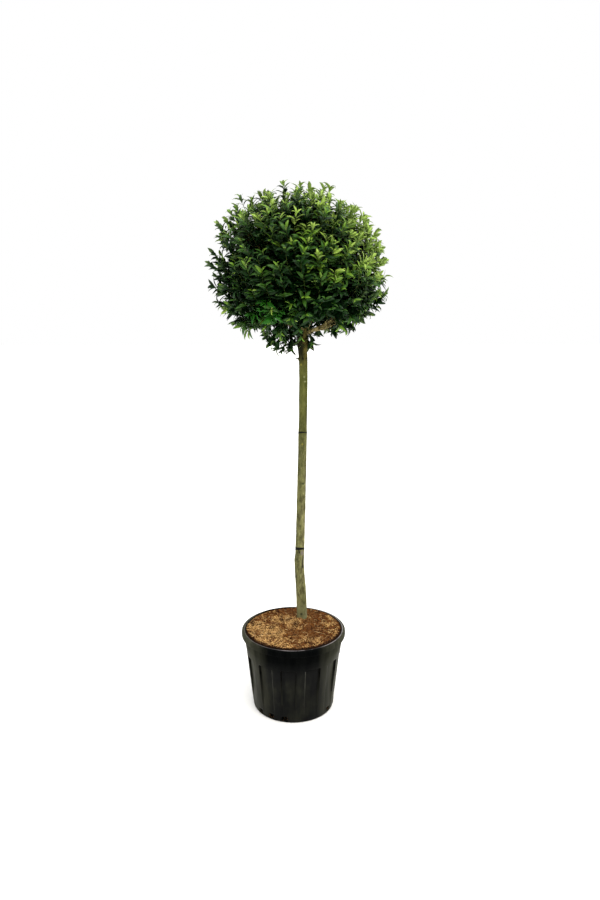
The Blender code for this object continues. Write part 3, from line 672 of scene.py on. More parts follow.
def tube(centres, radii, sides):
    """Vertices and faces of a round tube along the centres."""
    vertices = []
    side = Vector((0.95, -0.31, 0.02))
    for i, centre in enumerate(centres):
        ahead = (centres[min(i + 1, len(centres) - 1)] - centres[max(i - 1, 0)]).normalized()
        if abs(side.dot(ahead)) > 0.97:
            side = ahead.orthogonal()
        side = (side - ahead * side.dot(ahead)).normalized()
        other = ahead.cross(side)
        for k in range(sides):
            turn = TURN * k / sides
            vertices.append(centre + radii[i] * (math.cos(turn) * side + math.sin(turn) * other))
    return vertices, ring_faces(len(centres), sides)


def rough_tube(centres, radii, sides, relief):
    """A tube with the bark's relief on it."""
    vertices, faces = tube(centres, radii, sides)
    raised = []
    for index, vertex in enumerate(vertices):
        outward = (vertex - centres[index // sides]).normalized()
        bulge = noise.noise(vertex * 32.0) + 0.6 * noise.noise(vertex * 90.0)
        raised.append(vertex + outward * relief * bulge)
    return raised, faces


def curve_points(start, middle, end, count):
    """Points along a quadratic curve."""
    found = []
    for k in range(count):
        t = k / (count - 1)
        found.append((1 - t) ** 2 * start + 2 * t * (1 - t) * middle + t**2 * end)
    return found


def taper(first, last, count):
    return [first + (last - first) * k / (count - 1) for k in range(count)]


# Pot

def fluted_radius(height):
    return FOOT_RADIUS + (FLUTE_TOP_RADIUS - FOOT_RADIUS) * (height / FLUTED_HEIGHT) ** 0.95


def pot_profile():
    """(radius, height) up the outside of the pot, over the rounded lip and a little way down inside."""
    span = (FLUTED_HEIGHT - FLUTED_FOOT) / (FLUTED_RINGS - 1)
    heights = [FLUTED_FOOT + span * k for k in range(FLUTED_RINGS)] + list(EXTRA_RINGS)
    wall = [(FOOT_RADIUS - 0.010, 0.0), (FOOT_RADIUS - 0.004, 0.0012), (FOOT_RADIUS - 0.001, 0.005)]
    wall += [(fluted_radius(height), height) for height in sorted(heights)]
    wall += [(0.3230, 0.376), (0.3252, 0.390), (0.3275, 0.402), (0.3292, 0.411), (0.3305, 0.419)]
    wall += [(0.3315, 0.429), (0.3322, 0.438), (0.3330, 0.447), (0.3342, 0.453), (0.3380, 0.4575)]
    wall += [(0.3440, 0.4600), (0.3495, 0.4615), (0.3522, 0.4630), (0.3535, LIP_FOOT + 0.002)]
    wall += [(RIM_RADIUS, LIP_FOOT + 0.006), (RIM_RADIUS, LIP_FOOT + 0.013), (RIM_RADIUS, LIP_FOOT + 0.020)]
    wall += [(RIM_RADIUS - 0.0008, POT_HEIGHT - 0.0090), (RIM_RADIUS - 0.0030, POT_HEIGHT - 0.0062)]
    wall += [(RIM_RADIUS - 0.0065, POT_HEIGHT - 0.0048), (LIP_CREST_RADIUS + 0.0080, POT_HEIGHT - 0.0030)]
    wall += [(LIP_CREST_RADIUS + 0.0040, POT_HEIGHT - 0.0012)]
    wall += [(LIP_CREST_RADIUS + 0.0015, POT_HEIGHT - 0.0003), (LIP_CREST_RADIUS, POT_HEIGHT)]
    return wall + list(LIP_INSIDE)


def from_flute(angle):
    """How far round the pot a place is from the middle of the nearest flute."""
    return turn_between(angle, FLUTE_PHASE, TURN / FLUTES)


def flute_share(angle):
    """1 in the middle of a flute and 0 between two, with a short rounded step at its sides."""
    inner, outer = FLUTE_HALF_ANGLE - FLUTE_EDGE_ANGLE, FLUTE_HALF_ANGLE + FLUTE_EDGE_ANGLE
    return 1.0 - smooth_step(inner, outer, from_flute(angle))


def flute_depth_at(height):
    """How deep the flutes are at a height: a ledge at their top, fading out towards the foot."""
    top = 1.0 - smooth_step(FLUTE_TOP - 0.004, FLUTE_TOP + 0.004, height)
    deepens = smooth_step(FLUTE_FADE_FOOT, FLUTE_FADE_TOP, height)
    fade = FLUTE_LEAST_SHARE + (1.0 - FLUTE_LEAST_SHARE) * deepens
    return FLUTE_DEPTH * top * fade * smooth_step(0.02, 0.06, height)


def drain_angles():
    """Three groups of three slots round the foot."""
    return [DRAIN_FIRST + DRAIN_GROUP_STEP * k + DRAIN_STEP * slot for k in range(3) for slot in range(3)]


def drain_share(angle, height):
    """How deep in a drain slot a place on the wall is, from 0 to 1."""
    up = abs(height - DRAIN_HEIGHT) / DRAIN_HALF_HEIGHT
    deepest = 0.0
    for middle in drain_angles():
        away = turn_between(angle, middle) * FOOT_RADIUS / DRAIN_HALF_WIDTH
        deepest = max(deepest, 1.0 - smooth_step(0.75, 1.05, (away**4 + up**4) ** 0.25))
    return deepest


def wall_finish(angle, height):
    """The finish of a place on the wall: 0 plain, 1 painted shade on a flute's wall, under its ledge or in a
    slot, 2 painted highlight on a ridge's edge.
    """
    # Painted shade in the drain slots and in a line under the flutes' ledge
    if drain_share(angle, height) > 0.5:
        return 1
    away = from_flute(angle) - FLUTE_HALF_ANGLE
    if away < 0.0 and abs(height - FLUTE_TOP + 0.003) < 0.008:
        return 1
    uneven = flat_noise(math.cos(angle), math.sin(angle), 3.0, 5.0)
    if not PAINTED_LINES_FOOT + PAINTED_LINES_FADE * (0.5 + uneven) < height < FLUTE_TOP:
        return 0
    # Painted shade on the flutes' walls, above a foot that wanders
    if abs(away) < 0.75 * FLUTE_EDGE_ANGLE:
        return 1
    # Painted highlight on some of the ridges' edges
    painted_highlight = any(turn_between(angle, edge) < HIGHLIGHT_HALF_ANGLE for edge in HIGHLIGHT_EDGES)
    return 2 if painted_highlight else 0


def make_pot(finishes):
    sides = FLUTES * STEPS_PER_FLUTE
    wall = pot_profile()
    outside = len(wall) - len(LIP_INSIDE)
    vertices = [(0.0, 0.0, 0.0)]
    for level, (radius, height) in enumerate(wall):
        for k in range(sides):
            angle = TURN * k / sides
            x, y = math.cos(angle), math.sin(angle)
            here = radius
            if level < outside:
                here -= flute_share(angle) * flute_depth_at(height)
                here -= DRAIN_DEPTH * drain_share(angle, height)
                dent = noise.noise(Vector((x * 2.1, y * 2.1, height * 4.0)))
                soft = smooth_step(0.0, 0.12, height) * (1.0 - smooth_step(0.40, 0.47, height))
                here += DENT_DEPTH * dent * soft
            vertices.append((here * x, here * y, height))
    faces = [[1 + corner for corner in face] for face in ring_faces(len(wall), sides, closed_ends=False)]
    faces += [(0, 1 + (k + 1) % sides, 1 + k) for k in range(sides)]
    slots = []
    for (_, low), (_, high) in zip(wall, wall[1:]):
        slots += [wall_finish(TURN * (k + 0.5) / sides, (low + high) / 2) for k in range(sides)]
    slots += [0] * sides
    piece(mesh_object("pot_shell", vertices, faces, finishes, slots), "pot_plastic", "pot")


# Compost

def from_stem(x, y):
    return math.hypot(x - STEM_FOOT.x, y - STEM_FOOT.y)


def front_share(x, y):
    """1 on the front side of the pot and 0 on its back, where the compost reaches the wall."""
    return smooth_step(-0.1, 0.7, -y / (math.hypot(x, y) + 0.001))


def compost_height(x, y):
    """The height of the compost at a place: domed to the stem's foot, low at the pot's wall, and lumpy."""
    away = from_stem(x, y)
    from_edge = 1.0 - math.hypot(x, y) / COMPOST_RADIUS
    near_stem = math.exp(-((max(away - 0.05, 0.0) / 0.15) ** 2))
    rise = (COMPOST_TOP_HEIGHT - COMPOST_EDGE_HEIGHT) * near_stem
    crown = 0.010 * clamp(2.6 * from_edge)
    lump = noise.fractal(Vector((x * 24.0, y * 24.0, 3.1)), 0.8, 2.1, 5)
    trough = 0.003 * (1.0 - clamp(from_edge / 0.075)) * front_share(x, y)
    at_foot = math.exp(-((max(away - 0.036, 0.0) / 0.012) ** 2))
    heap = 0.011 * at_foot * (0.5 + flat_noise(x, y, 40.0, 9.0))
    lumps = 0.0050 * lump * (0.35 + 0.65 * clamp(8.0 * from_edge))
    return COMPOST_EDGE_HEIGHT + max(rise, crown) + heap + lumps - 0.003 - trough


def make_compost(soil):
    sides, rings = COMPOST_STEPS, COMPOST_RINGS
    vertices = []
    for i in range(rings):
        radius = COMPOST_RADIUS * (1.0 - i / rings) ** 0.9
        for k in range(sides):
            angle = TURN * (k + 0.5 * (i % 2)) / sides
            x, y = radius * math.cos(angle), radius * math.sin(angle)
            vertices.append((x, y, compost_height(x, y)))
    vertices.append((0.0, 0.0, compost_height(0.0, 0.0)))
    skirt = len(vertices)
    vertices += [(x, y, COMPOST_EDGE_HEIGHT - COMPOST_SKIRT) for x, y, _ in vertices[:sides]]
    last = (rings - 1) * sides
    faces = ring_faces(rings, sides, closed_ends=False)
    faces += [(last + k, last + (k + 1) % sides, last + sides) for k in range(sides)]
    faces += band(skirt, 0, sides)
    piece(mesh_object("compost_bed", vertices, faces, [soil]), "bark_compost", "compost")


def lying_direction(chance, low, high):
    """A direction that lies nearly flat, its rise drawn between two limits."""
    return Vector((chance.uniform(-1, 1), chance.uniform(-1, 1), chance.uniform(low, high))).normalized()


def crumb(chance, centre, size):
    """One irregular bark crumb of eight faces."""
    long_way = lying_direction(chance, -0.25, 0.35)
    side = long_way.cross(UP).normalized()
    above = side.cross(long_way)
    length = size * chance.uniform(0.7, 1.5)
    width = size * chance.uniform(0.35, 0.7)
    depth = size * chance.uniform(0.2, 0.4)
    points = [centre - long_way * length]
    for out, up in ((1, 0.2), (0.1, 1), (-1, -0.1), (-0.1, -1)):
        shift = long_way * chance.uniform(-0.3, 0.3) * length
        points.append(centre + shift + side * out * width + above * up * depth)
    points.append(centre + long_way * length)
    faces = [(0, 1 + k, 1 + (k + 1) % 4) for k in range(4)]
    faces += [(5, 1 + (k + 1) % 4, 1 + k) for k in range(4)]
    return points, faces


def fibre(chance, centre, length, width):
    """One pale straw: a thin bent strip with three sides."""
    ahead = lying_direction(chance, -0.1, 0.28)
    side = ahead.cross(UP).normalized()
    bend = side * chance.uniform(-0.25, 0.25) * length + UP * chance.uniform(0.0, 0.12) * length
    centres = [centre - ahead * length / 2, centre + bend, centre + ahead * length / 2]
    return tube(centres, [0.5 * width, width, 0.35 * width], 3)


def crumb_kind(x, y, draw):
    """Tan crumbs lie in patches, most on the left and in front, dark ones in pits, and dark ones along the
    wall as painted shade, widest at the front.
    """
    radius = math.hypot(x, y)
    pit = flat_noise(x, y, 30.0, 7.7)
    # Painted shade: dark crumbs along the wall, widest at the front
    in_shade = COMPOST_RADIUS - radius < 0.009 + 0.030 * front_share(x, y)
    if draw < 0.18 - 1.1 * min(pit, 0.0) or in_shade:
        return "crumbs_dark"
    patch = 0.42 + 1.1 * flat_noise(x, y, 8.0, 0.7) - 0.58 * x / COMPOST_RADIUS
    patch += 1.0 * flat_noise(x, y, 21.0, 4.7) - 0.34 * y / COMPOST_RADIUS
    patch += 0.30 * smooth_step(0.80, 1.0, radius / COMPOST_RADIUS) - 0.62 * smooth_step(0.05, 0.30, y)
    return "crumbs_tan" if patch + 0.7 * (draw - 0.6) > 0.45 else "crumbs_red"


def make_loose_compost():
    chance = random.Random(SEED)
    soups = {name: Soup() for name in LOOSE_BITS if name != "drain_crumbs"}
    for k in range(CRUMBS):
        radius = (COMPOST_RADIUS - 0.006) * math.sqrt(chance.random())
        angle = chance.uniform(0.0, TURN)
        x, y = radius * math.cos(angle), radius * math.sin(angle)
        if from_stem(x, y) < CLEAR_OF_STEM:
            continue
        centre = Vector((x, y, compost_height(x, y) + 0.0015))
        if k % CRUMBS_PER_STRAW == 0 and COMPOST_RADIUS - radius > STRAW_FROM_WALL:
            length = chance.uniform(*STRAW_LENGTHS)
            soups["straws"].add(*fibre(chance, centre + UP * 0.003, length, chance.uniform(*STRAW_WIDTHS)))
            continue
        kind = crumb_kind(x, y, chance.random())
        soups[kind].add(*crumb(chance, centre, chance.uniform(*CRUMB_SIZES)))
    for name, soup in soups.items():
        piece(soup.object(name, loose_bit(name), smooth=name == "straws"), "bark_compost", "compost")


def make_drain_crumbs():
    """Dark compost that shows in the drain slots."""
    chance = random.Random(SEED + 1)
    soup = Soup()
    for middle in drain_angles():
        for _ in range(CRUMBS_IN_DRAIN):
            angle = middle + chance.uniform(-1.0, 1.0) * DRAIN_HALF_WIDTH / FOOT_RADIUS
            height = DRAIN_HEIGHT + chance.uniform(-0.9, 0.8) * DRAIN_HALF_HEIGHT
            reach = FOOT_RADIUS - chance.uniform(0.0005, 0.0060)
            centre = Vector((reach * math.cos(angle), reach * math.sin(angle), height))
            soup.add(*crumb(chance, centre, chance.uniform(*DRAIN_CRUMB_SIZES)))
    piece(soup.object("drain_crumbs", loose_bit("drain_crumbs"), False), "bark_compost", "compost")


# Stem

def stem_centre(height):
    return Vector((between(STEM_BENDS, height), STEM_FOOT.y, height))


def on_stem_front(x, height):
    """The place on the front of the stem at this x and height."""
    centre, radius = stem_centre(height), between(STEM_RADII, height)
    aside = clamp(x - centre.x, -0.95 * radius, 0.95 * radius)
    return centre + Vector((aside, -math.sqrt(radius**2 - aside**2), 0.0))


def stem_relief(height, angle):
    """How far the bark stands out of the plain stem at a place."""
    around = Vector((math.cos(angle), math.sin(angle), 0.0))
    out = 0.0016 * noise.noise(around * 1.2 + UP * height * 7.0)
    out += 0.0006 * noise.noise(around * 3.5 + UP * height * 30.0)
    out += 0.0006 * noise.noise(around * 9.0 + UP * height * 9.0)
    flare = clamp((0.60 - height) / 0.09)
    out += 0.0020 * flare * noise.noise(around * 1.9 + UP * 2.0)
    for knot_height, turn, tall, wide, swelling in KNOTS:
        up = (height - knot_height) / tall
        if abs(up) <= KNOT_REACHES:
            away = turn_between(angle, math.radians(turn)) / math.radians(wide)
            out += swelling * math.exp(-(up**2) - away**2)
    return out


def make_stem(finish):
    top = STEM_BENDS[-1][0]
    vertices = []
    for height in taper(STEM_BASE, top, STEM_RINGS):
        centre = stem_centre(max(height, STEM_BENDS[0][0]))
        radius = between(STEM_RADII, max(height, STEM_RADII[0][0])) + BARK_OUT
        for k in range(STEM_SIDES):
            angle = TURN * k / STEM_SIDES
            here = radius + stem_relief(height, angle)
            vertices.append((centre.x + here * math.cos(angle), centre.y + here * math.sin(angle), height))
    faces = ring_faces(STEM_RINGS, STEM_SIDES)
    piece(mesh_object("stem_bark", vertices, faces, [finish]), "stem_bark", "stem")


def make_tie(name, height, depth, node, finish):
    """A flat band wound round the stem, a little lower at the back, with a groove between its windings."""
    vertices = []
    for i in range(TIE_RINGS):
        turn = TURN * i / TIE_RINGS
        out = 0.0003 + 0.0012 * signed_root(math.cos(turn))
        rise = 0.5 * depth * signed_root(math.sin(turn))
        if math.cos(turn) > 0:
            out -= 0.0009 * math.exp(-((rise / (0.12 * depth)) ** 2))
        for k in range(TIE_SIDES):
            angle = TURN * k / TIE_SIDES
            level = height + rise * (1.0 - 0.28 * math.cos(angle)) - TIE_TILT * math.sin(angle)
            centre = stem_centre(level)
            here = between(STEM_RADII, level) + BARK_OUT + stem_relief(height, angle) + out
            vertices.append((centre.x + here * math.cos(angle), centre.y + here * math.sin(angle), level))
    faces = ring_faces(TIE_RINGS, TIE_SIDES, closed_ends=False)
    faces += band((TIE_RINGS - 1) * TIE_SIDES, 0, TIE_SIDES)
    piece(mesh_object(name, vertices, faces, [finish]), "tie_rubber", node)


def spur(start, tip, sag, radii, sides, relief):
    """A short bent twig or end, which sags by so much in its middle."""
    line = curve_points(start, start.lerp(tip, 0.5) - UP * sag, tip, SPUR_POINTS)
    return rough_tube(line, taper(*radii, SPUR_POINTS), sides, relief)


def make_tie_end(height, node, finish):
    """The short loose end of the lower tie, bent down on the front."""
    start = on_stem_front(0.036, height) + Vector((0.0, -0.003, 0.0))
    tip = on_stem_front(0.042, height - 0.024) + Vector((0.0, -0.004, 0.0))
    shape = spur(start, tip, 0.002, (0.0034, 0.0026), 8, 0.0003)
    piece(mesh_object("tie_end", *shape, [finish]), "tie_rubber", node)


def make_stub(finish):
    """A thorn-like dead twig high on the stem's left side."""
    root = stem_centre(STUB_HEIGHT) + Vector((-0.020, -0.012, 0.0))
    shape = spur(root, root + STUB_REACH, -0.003, (0.0080, 0.0020), 10, 0.0006)
    piece(mesh_object("stem_stub", *shape, [finish]), "stem_bark", "stem")


# Boughs

def ring_of_anchors(kind, count, out, height, turn):
    """The middles of the masses of one kind, by name."""
    anchors = {}
    for k in range(count):
        angle = turn + TURN * k / count
        x, y = HEAD_CENTRE.x + out * math.cos(angle), HEAD_CENTRE.y + out * math.sin(angle)
        anchors[f"foliage_{kind}_{k + 1}"] = Vector((x, y, height))
    return anchors


def mass_anchors():
    anchors = ring_of_anchors("lower", LOWER_MASSES, LOWER_OUT, LOWER_HEIGHT, LOWER_TURN)
    anchors.update(ring_of_anchors("upper", UPPER_MASSES, UPPER_OUT, UPPER_HEIGHT, UPPER_TURN))
    anchors["foliage_top"] = Vector((HEAD_CENTRE.x, HEAD_CENTRE.y, TOP_HEIGHT))
    return anchors


def bough_of(mass):
    return "bough_leader" if mass == "foliage_top" else mass.replace("foliage", "bough")


def bough_path(start, tip, rise, radius):
    """The centre line and the radii of a bough."""
    middle = start.lerp(tip, 0.5)
    middle.z = start.z + rise * (tip.z - start.z)
    return curve_points(start, middle, tip, BOUGH_POINTS), taper(radius, BOUGH_TIP_RADIUS, BOUGH_POINTS)


def on_path(centres, height):
    for low, high in zip(centres, centres[1:]):
        if low.z <= height <= high.z:
            return low.lerp(high, (height - low.z) / (high.z - low.z))
    return centres[-1]


def bough_paths(anchors):
    """The bough of each mass: from the fork to the lower masses, and from the leader to the upper ones."""
    start = stem_centre(LEADER_HEIGHT - LEADER_SUNK)
    leader = bough_path(start, start.lerp(anchors["foliage_top"], LEADER_REACH), LEADER_RISE, LEADER_RADIUS)
    paths = {"foliage_top": leader}
    fork = stem_centre(FORK_HEIGHT)
    for k, (name, anchor) in enumerate(anchors.items()):
        if name == FLAT_BOUGH_MASS:
            paths[name] = bough_path(fork, FLAT_BOUGH_TIP, LOWER_RISE, BOUGH_RADIUS)
        elif name.startswith("foliage_lower"):
            paths[name] = bough_path(fork, fork.lerp(anchor, LOWER_REACH), LOWER_RISE, BOUGH_RADIUS)
        elif name.startswith("foliage_upper"):
            start = on_path(leader[0], UPPER_FORK_HEIGHT + UPPER_FORK_STEP * (k % 2))
            paths[name] = bough_path(start, start.lerp(anchor, UPPER_REACH), UPPER_RISE, UPPER_BOUGH_RADIUS)
    return paths


def make_boughs(paths, finish):
    for mass, (centres, radii) in paths.items():
        vertices, faces = rough_tube(centres, radii, BOUGH_SIDES, BOUGH_RELIEF)
        node = bough_of(mass)
        piece(mesh_object(node + "_bark", vertices, faces, [finish]), "bough_bark", node)


def make_fork_twigs(centres, node, finish):
    """Thin leafless twigs that run along the flat bough beside the fork and fan out past its end."""
    chance = random.Random(SEED + 2)
    soup = Soup()
    ahead = (centres[-1] - centres[-2]).normalized()
    for _ in range(BARE_TWIGS):
        start = centres[chance.randrange(4, len(centres))]
        fan = UP * chance.uniform(-0.055, 0.045) + Vector((0.0, chance.gauss(0.0, 0.025), 0.0))
        end = centres[-1] + ahead * chance.uniform(-0.03, 0.08) + fan
        middle = start.lerp(end, 0.5) + fan * chance.uniform(0.1, 0.5)
        line = curve_points(start, middle, end, BARE_TWIG_POINTS)
        radii = taper(chance.uniform(0.0030, 0.0052), 0.0012, BARE_TWIG_POINTS)
        soup.add(*rough_tube(line, radii, 6, 0.0006))
    piece(soup.object("fork_twigs", finish), "bough_bark", node)


# Shoots

def head_reach(height, angle):
    """How far the head reaches from its axis at a height, in a direction round it."""
    left, right = between(HEAD_LEFT, height), between(HEAD_RIGHT, height)
    if not HEAD_LEFT[0][0] <= height <= HEAD_LEFT[-1][0]:
        left = 0.0
    if not HEAD_RIGHT[0][0] <= height <= HEAD_RIGHT[-1][0]:
        right = 0.0
    return left + (right - left) * (0.5 + 0.5 * math.cos(angle))


def head_surface(direction):
    """The place where a line from the middle of the head meets its outline."""
    low, high = 0.1, 0.9
    for _ in range(14):
        middle = (low + high) / 2
        point = HEAD_CENTRE + direction * middle
        away = point - HEAD_CENTRE
        inside = math.hypot(away.x, away.y) < head_reach(point.z, math.atan2(away.y, away.x))
        low, high = (middle, high) if inside else (low, middle)
    return HEAD_CENTRE + direction * low


def spiral_directions(count, phase):
    found = []
    for k in range(count):
        height = 1.0 - 2.0 * (k + 0.5) / count
        flat = math.sqrt(1.0 - height * height)
        turn = GOLDEN_ANGLE * k + phase
        found.append(Vector((flat * math.cos(turn), flat * math.sin(turn), height)))
    return found


class Shoot:
    """A leafy shoot: a bent line from its base to its tip, at a depth under the head's outline or alone."""

    def __init__(self, tip, growth, length, outward, depth=0.0, lone=False):
        self.base = tip - growth * length
        self.tip = tip
        self.length = length
        self.outward = outward
        self.depth = depth
        self.lone = lone
        self.middle = self.base.lerp(tip, 0.5) + (outward - 0.35 * UP) * length * 0.10

    def at(self, t):
        return (1 - t) ** 2 * self.base + 2 * t * (1 - t) * self.middle + t**2 * self.tip

    def ahead(self, t):
        return (2 * (1 - t) * (self.middle - self.base) + 2 * t * (self.tip - self.middle)).normalized()


def ball_shoot(tip, outward, depth, chance):
    """A shoot of the ball. It grows outwards and up, and the lowest ones out and a little down."""
    lift = 0.80 - 1.20 * clamp((-0.30 - outward.z) / 0.5)
    growth = (outward + UP * lift + random_vector(chance, 0.20)).normalized()
    return Shoot(tip, growth, SHOOT_LENGTH * chance.uniform(0.75, 1.2), outward, depth)


def in_hollow(point):
    """Whether a place is in the clear hollow under the head, open towards the front, beside the fork."""
    sideways = HOLLOW_LEFT < point.x < HOLLOW_RIGHT
    roof = HOLLOW_TOP + HOLLOW_RISE * (point.x - HOLLOW_LEFT)
    return sideways and point.y < HOLLOW_BACK and point.z < roof


def is_open(point):
    """Whether a place has to stay free of leaves."""
    in_gap = any(math.hypot(point.x - x, point.z - height) < radius for x, height, radius in SKY_GAPS)
    return in_gap or in_hollow(point)


def make_shoots(chance):
    shoots = []
    for direction in spiral_directions(OUTER_SHOOTS, 0.0):
        outward = (direction + random_vector(chance, 0.035)).normalized()
        reach = chance.uniform(*OUTER_REACH)
        if outward.z > 0.5 and chance.random() < 0.08:
            reach += 0.04
        shoots.append(ball_shoot(head_surface(outward) + outward * reach, outward, 0.0, chance))
    for direction in spiral_directions(INNER_SHOOTS, 1.3):
        depth = chance.uniform(*INNER_DEPTHS)
        shoots.append(ball_shoot(head_surface(direction) - direction * depth, direction, depth, chance))
    for x, height in LONE_SHOOTS:
        far = TOP_SHOOTS_SPREAD if height > TOP_SHOOTS_HEIGHT else LONE_SHOOTS_SPREAD
        tip = Vector((x, HEAD_CENTRE.y + chance.uniform(-far, far), height))
        outward = (tip - HEAD_CENTRE).normalized()
        growth = (outward + UP * 0.5).normalized()
        shoots.append(Shoot(tip - growth * LONE_SHOOT_LEAF, growth, SHOOT_LENGTH, outward, lone=True))
    shoots = [shoot for shoot in shoots if not any(is_open(shoot.at(t)) for t in (0.5, 1.0))]
    for x, height in LOW_SHOOTS:
        tip = Vector((x, HEAD_CENTRE.y + chance.uniform(-0.10, 0.08), height))
        outward = (tip - HEAD_CENTRE).normalized()
        growth = (Vector((outward.x, outward.y, 0.0)) - UP * 0.55).normalized()
        shoots.append(Shoot(tip, growth, LOW_SHOOT_LENGTH, outward))
    return shoots


# Leaves

def leaf_template(bend, fold):
    """A leaf of unit length along X, face up along Z, as vertices, faces and the side of each face."""
    width, thick = LEAF_WIDTH / LEAF_LENGTH, LEAF_THICKNESS / LEAF_LENGTH
    place, slope, before = Vector((0.0, 0.0, 0.0)), 0.35 * bend, 0.0
    vertices = [(0.0, 0.0, 0.0)]
    under = []
    for share, broad in LEAF_STATIONS:
        step = share - before
        place = place + Vector((math.cos(slope), 0.0, math.sin(slope))) * step
        slope -= bend * step * 1.35
        before = share
        half = broad * width / 2
        normal = Vector((-math.sin(slope), 0.0, math.cos(slope)))
        for side in (-1, 0, 1):
            lifted = place + Vector((0.0, side * half, 0.0)) + normal * abs(side) * half * fold
            vertices.append(tuple(lifted))
        under.append(tuple(place - normal * thick))
    place = place + Vector((math.cos(slope), 0.0, math.sin(slope))) * (1.0 - before)
    vertices += under
    vertices.append(tuple(place))
    count = len(LEAF_STATIONS)
    keel, tip = 1 + 3 * count, len(vertices) - 1
    top, bottom = [(0, 1, 2), (0, 2, 3)], [(0, keel, 1), (0, 3, keel)]
    for i in range(count - 1):
        a, b = 1 + 3 * i, 4 + 3 * i
        low, high = keel + i, keel + i + 1
        top += [(a, b, b + 1), (a, b + 1, a + 1), (a + 1, b + 1, b + 2), (a + 1, b + 2, a + 2)]
        bottom += [(a, low, high), (a, high, b), (low, a + 2, b + 2), (low, b + 2, high)]
    a, low = keel - 3, tip - 1
    top += [(a, tip, a + 1), (a + 1, tip, a + 2)]
    bottom += [(a, low, tip), (low, a + 2, tip)]
    return np.array(vertices), np.array(top + bottom), np.array([0] * len(top) + [1] * len(bottom))


LEAF_SHAPES = [leaf_template(bend, fold) for bend in LEAF_BENDS for fold in LEAF_FOLDS]


def shoot_light(shoot, chance):
    """How light a shoot's leaves are, from 0 to 4, as painted light and shade: lighter towards the top and
    the right, darker inside.
    """
    height = clamp((shoot.tip.z - 2.45) / 1.1)
    aside = (shoot.tip.x - HEAD_CENTRE.x) / HEAD_HALF_WIDTH
    if shoot.depth > 0.0:
        # Painted shade: the deeper an inner shoot stands, the darker its leaves
        return 0.55 - 4.0 * shoot.depth + 0.1 * height + chance.gauss(0.0, INNER_VARIETY)
    if shoot.tip.z < LOW_LIGHT_HEIGHT:
        return LOW_LIGHT + chance.gauss(0.0, INNER_VARIETY)
    # Painted light: lighter towards the top, on the right, and low on the left
    tilt = 0.45 + 2.30 * smooth_step(0.17, 0.57, height) if aside > 0.0 else 0.12 + 0.20 * height
    light = 1.02 + 2.40 * height**2.0 + tilt * aside
    light += 1.10 * clamp(-aside) * smooth_step(0.45, 0.12, height)
    return light + chance.gauss(0.0, LONE_VARIETY if shoot.lone else OUTER_VARIETY)


def near_emerald(point):
    """Whether a place is in the small patch of emerald leaves, low on the left of the front."""
    away = point - EMERALD_PLACE
    return sum((away[axis] / EMERALD_REACH[axis]) ** 2 for axis in range(3)) < 1.0


def leaf_frames(shoot, chance):
    """Root, direction, face, length and lightness of each leaf on a shoot."""
    count = max(6, round(SHOOT_LEAVES * shoot.length / SHOOT_LENGTH * chance.uniform(0.85, 1.15)))
    turn = chance.uniform(0.0, TURN)
    light = shoot_light(shoot, chance)
    in_ranks = abs(shoot.ahead(0.5).z) < 0.85 and chance.random() < 0.5
    found = []
    for i in range(count):
        t = 0.16 + 0.84 * (i / (count - 1)) ** 0.85
        ahead = shoot.ahead(min(t, 0.98))
        side = ahead.orthogonal().normalized()
        turn += GOLDEN_ANGLE + chance.uniform(-0.25, 0.25)
        round_about = math.cos(turn) * side + math.sin(turn) * ahead.cross(side)
        if in_ranks:
            across = ahead.cross(UP).normalized() * (1.0 if i % 2 else -1.0)
            round_about = (across + 0.35 * round_about).normalized()
        lean = math.radians(72.0 - 40.0 * t**1.5 + chance.uniform(-9.0, 9.0))
        direction = math.cos(lean) * ahead + math.sin(lean) * round_about
        droop = (0.45 - 0.36 * t) * chance.uniform(0.5, 1.3)
        direction = (direction - UP * droop).normalized()
        wish = 0.62 * UP + 0.80 * shoot.outward + 0.40 * ahead - 0.15 * round_about
        wish += random_vector(chance, 0.22)
        face = (wish - direction * wish.dot(direction)).normalized()
        length = LEAF_LENGTH * chance.uniform(0.70, 1.15) * (1.0 - 0.38 * smooth_step(0.86, 1.0, t))
        # Painted shade on a shoot's lower leaves, lighter new growth at its tip
        own_light = light - 2.1 * (1.0 - t) + 1.15 * smooth_step(0.72, 1.0, t) + chance.gauss(0, 0.30)
        found.append((shoot.at(t), direction, face, length, own_light))
    return found


def sort_leaves(shoots, chance):
    """The frames of all leaves, by tone and shape."""
    leaves = {tone: [[] for _ in LEAF_SHAPES] for tone in TONES}
    for shoot in shoots:
        emerald = near_emerald(shoot.tip) and chance.random() < EMERALD_SHARE
        whole = shoot.tip.z < KEPT_WHOLE_HEIGHT
        for root, direction, face, length, light in leaf_frames(shoot, chance):
            if not whole and any(is_open(root + direction * length * share) for share in (0.35, 0.7)):
                continue
            tone = "emerald" if emerald else TONE_ORDER[int(clamp(round(light - 0.1), 0, 4))]
            shape = chance.randrange(len(LEAF_SHAPES))
            leaves[tone][shape].append((*root, *direction, *face.cross(direction), *face, length))
    return leaves


def join_leaves(by_shape):
    """Vertices, faces and sides of the leaves of one tone, joined."""
    vertices, faces, slots, first = [], [], [], 0
    for (shape, corners, sides), rows in zip(LEAF_SHAPES, by_shape):
        if not rows:
            continue
        rows = np.array(rows)
        axes = rows[:, 3:12].reshape(-1, 3, 3)
        placed = rows[:, None, 0:3] + rows[:, 12, None, None] * np.einsum("vk,lkx->lvx", shape, axes)
        starts = first + np.arange(len(rows)) * len(shape)
        vertices.append(placed.reshape(-1, 3))
        faces.append((corners[None, :, :] + starts[:, None, None]).reshape(-1, 3))
        slots.append(np.tile(sides, len(rows)))
        first += placed.shape[0] * placed.shape[1]
    return np.concatenate(vertices), np.concatenate(faces), np.concatenate(slots)


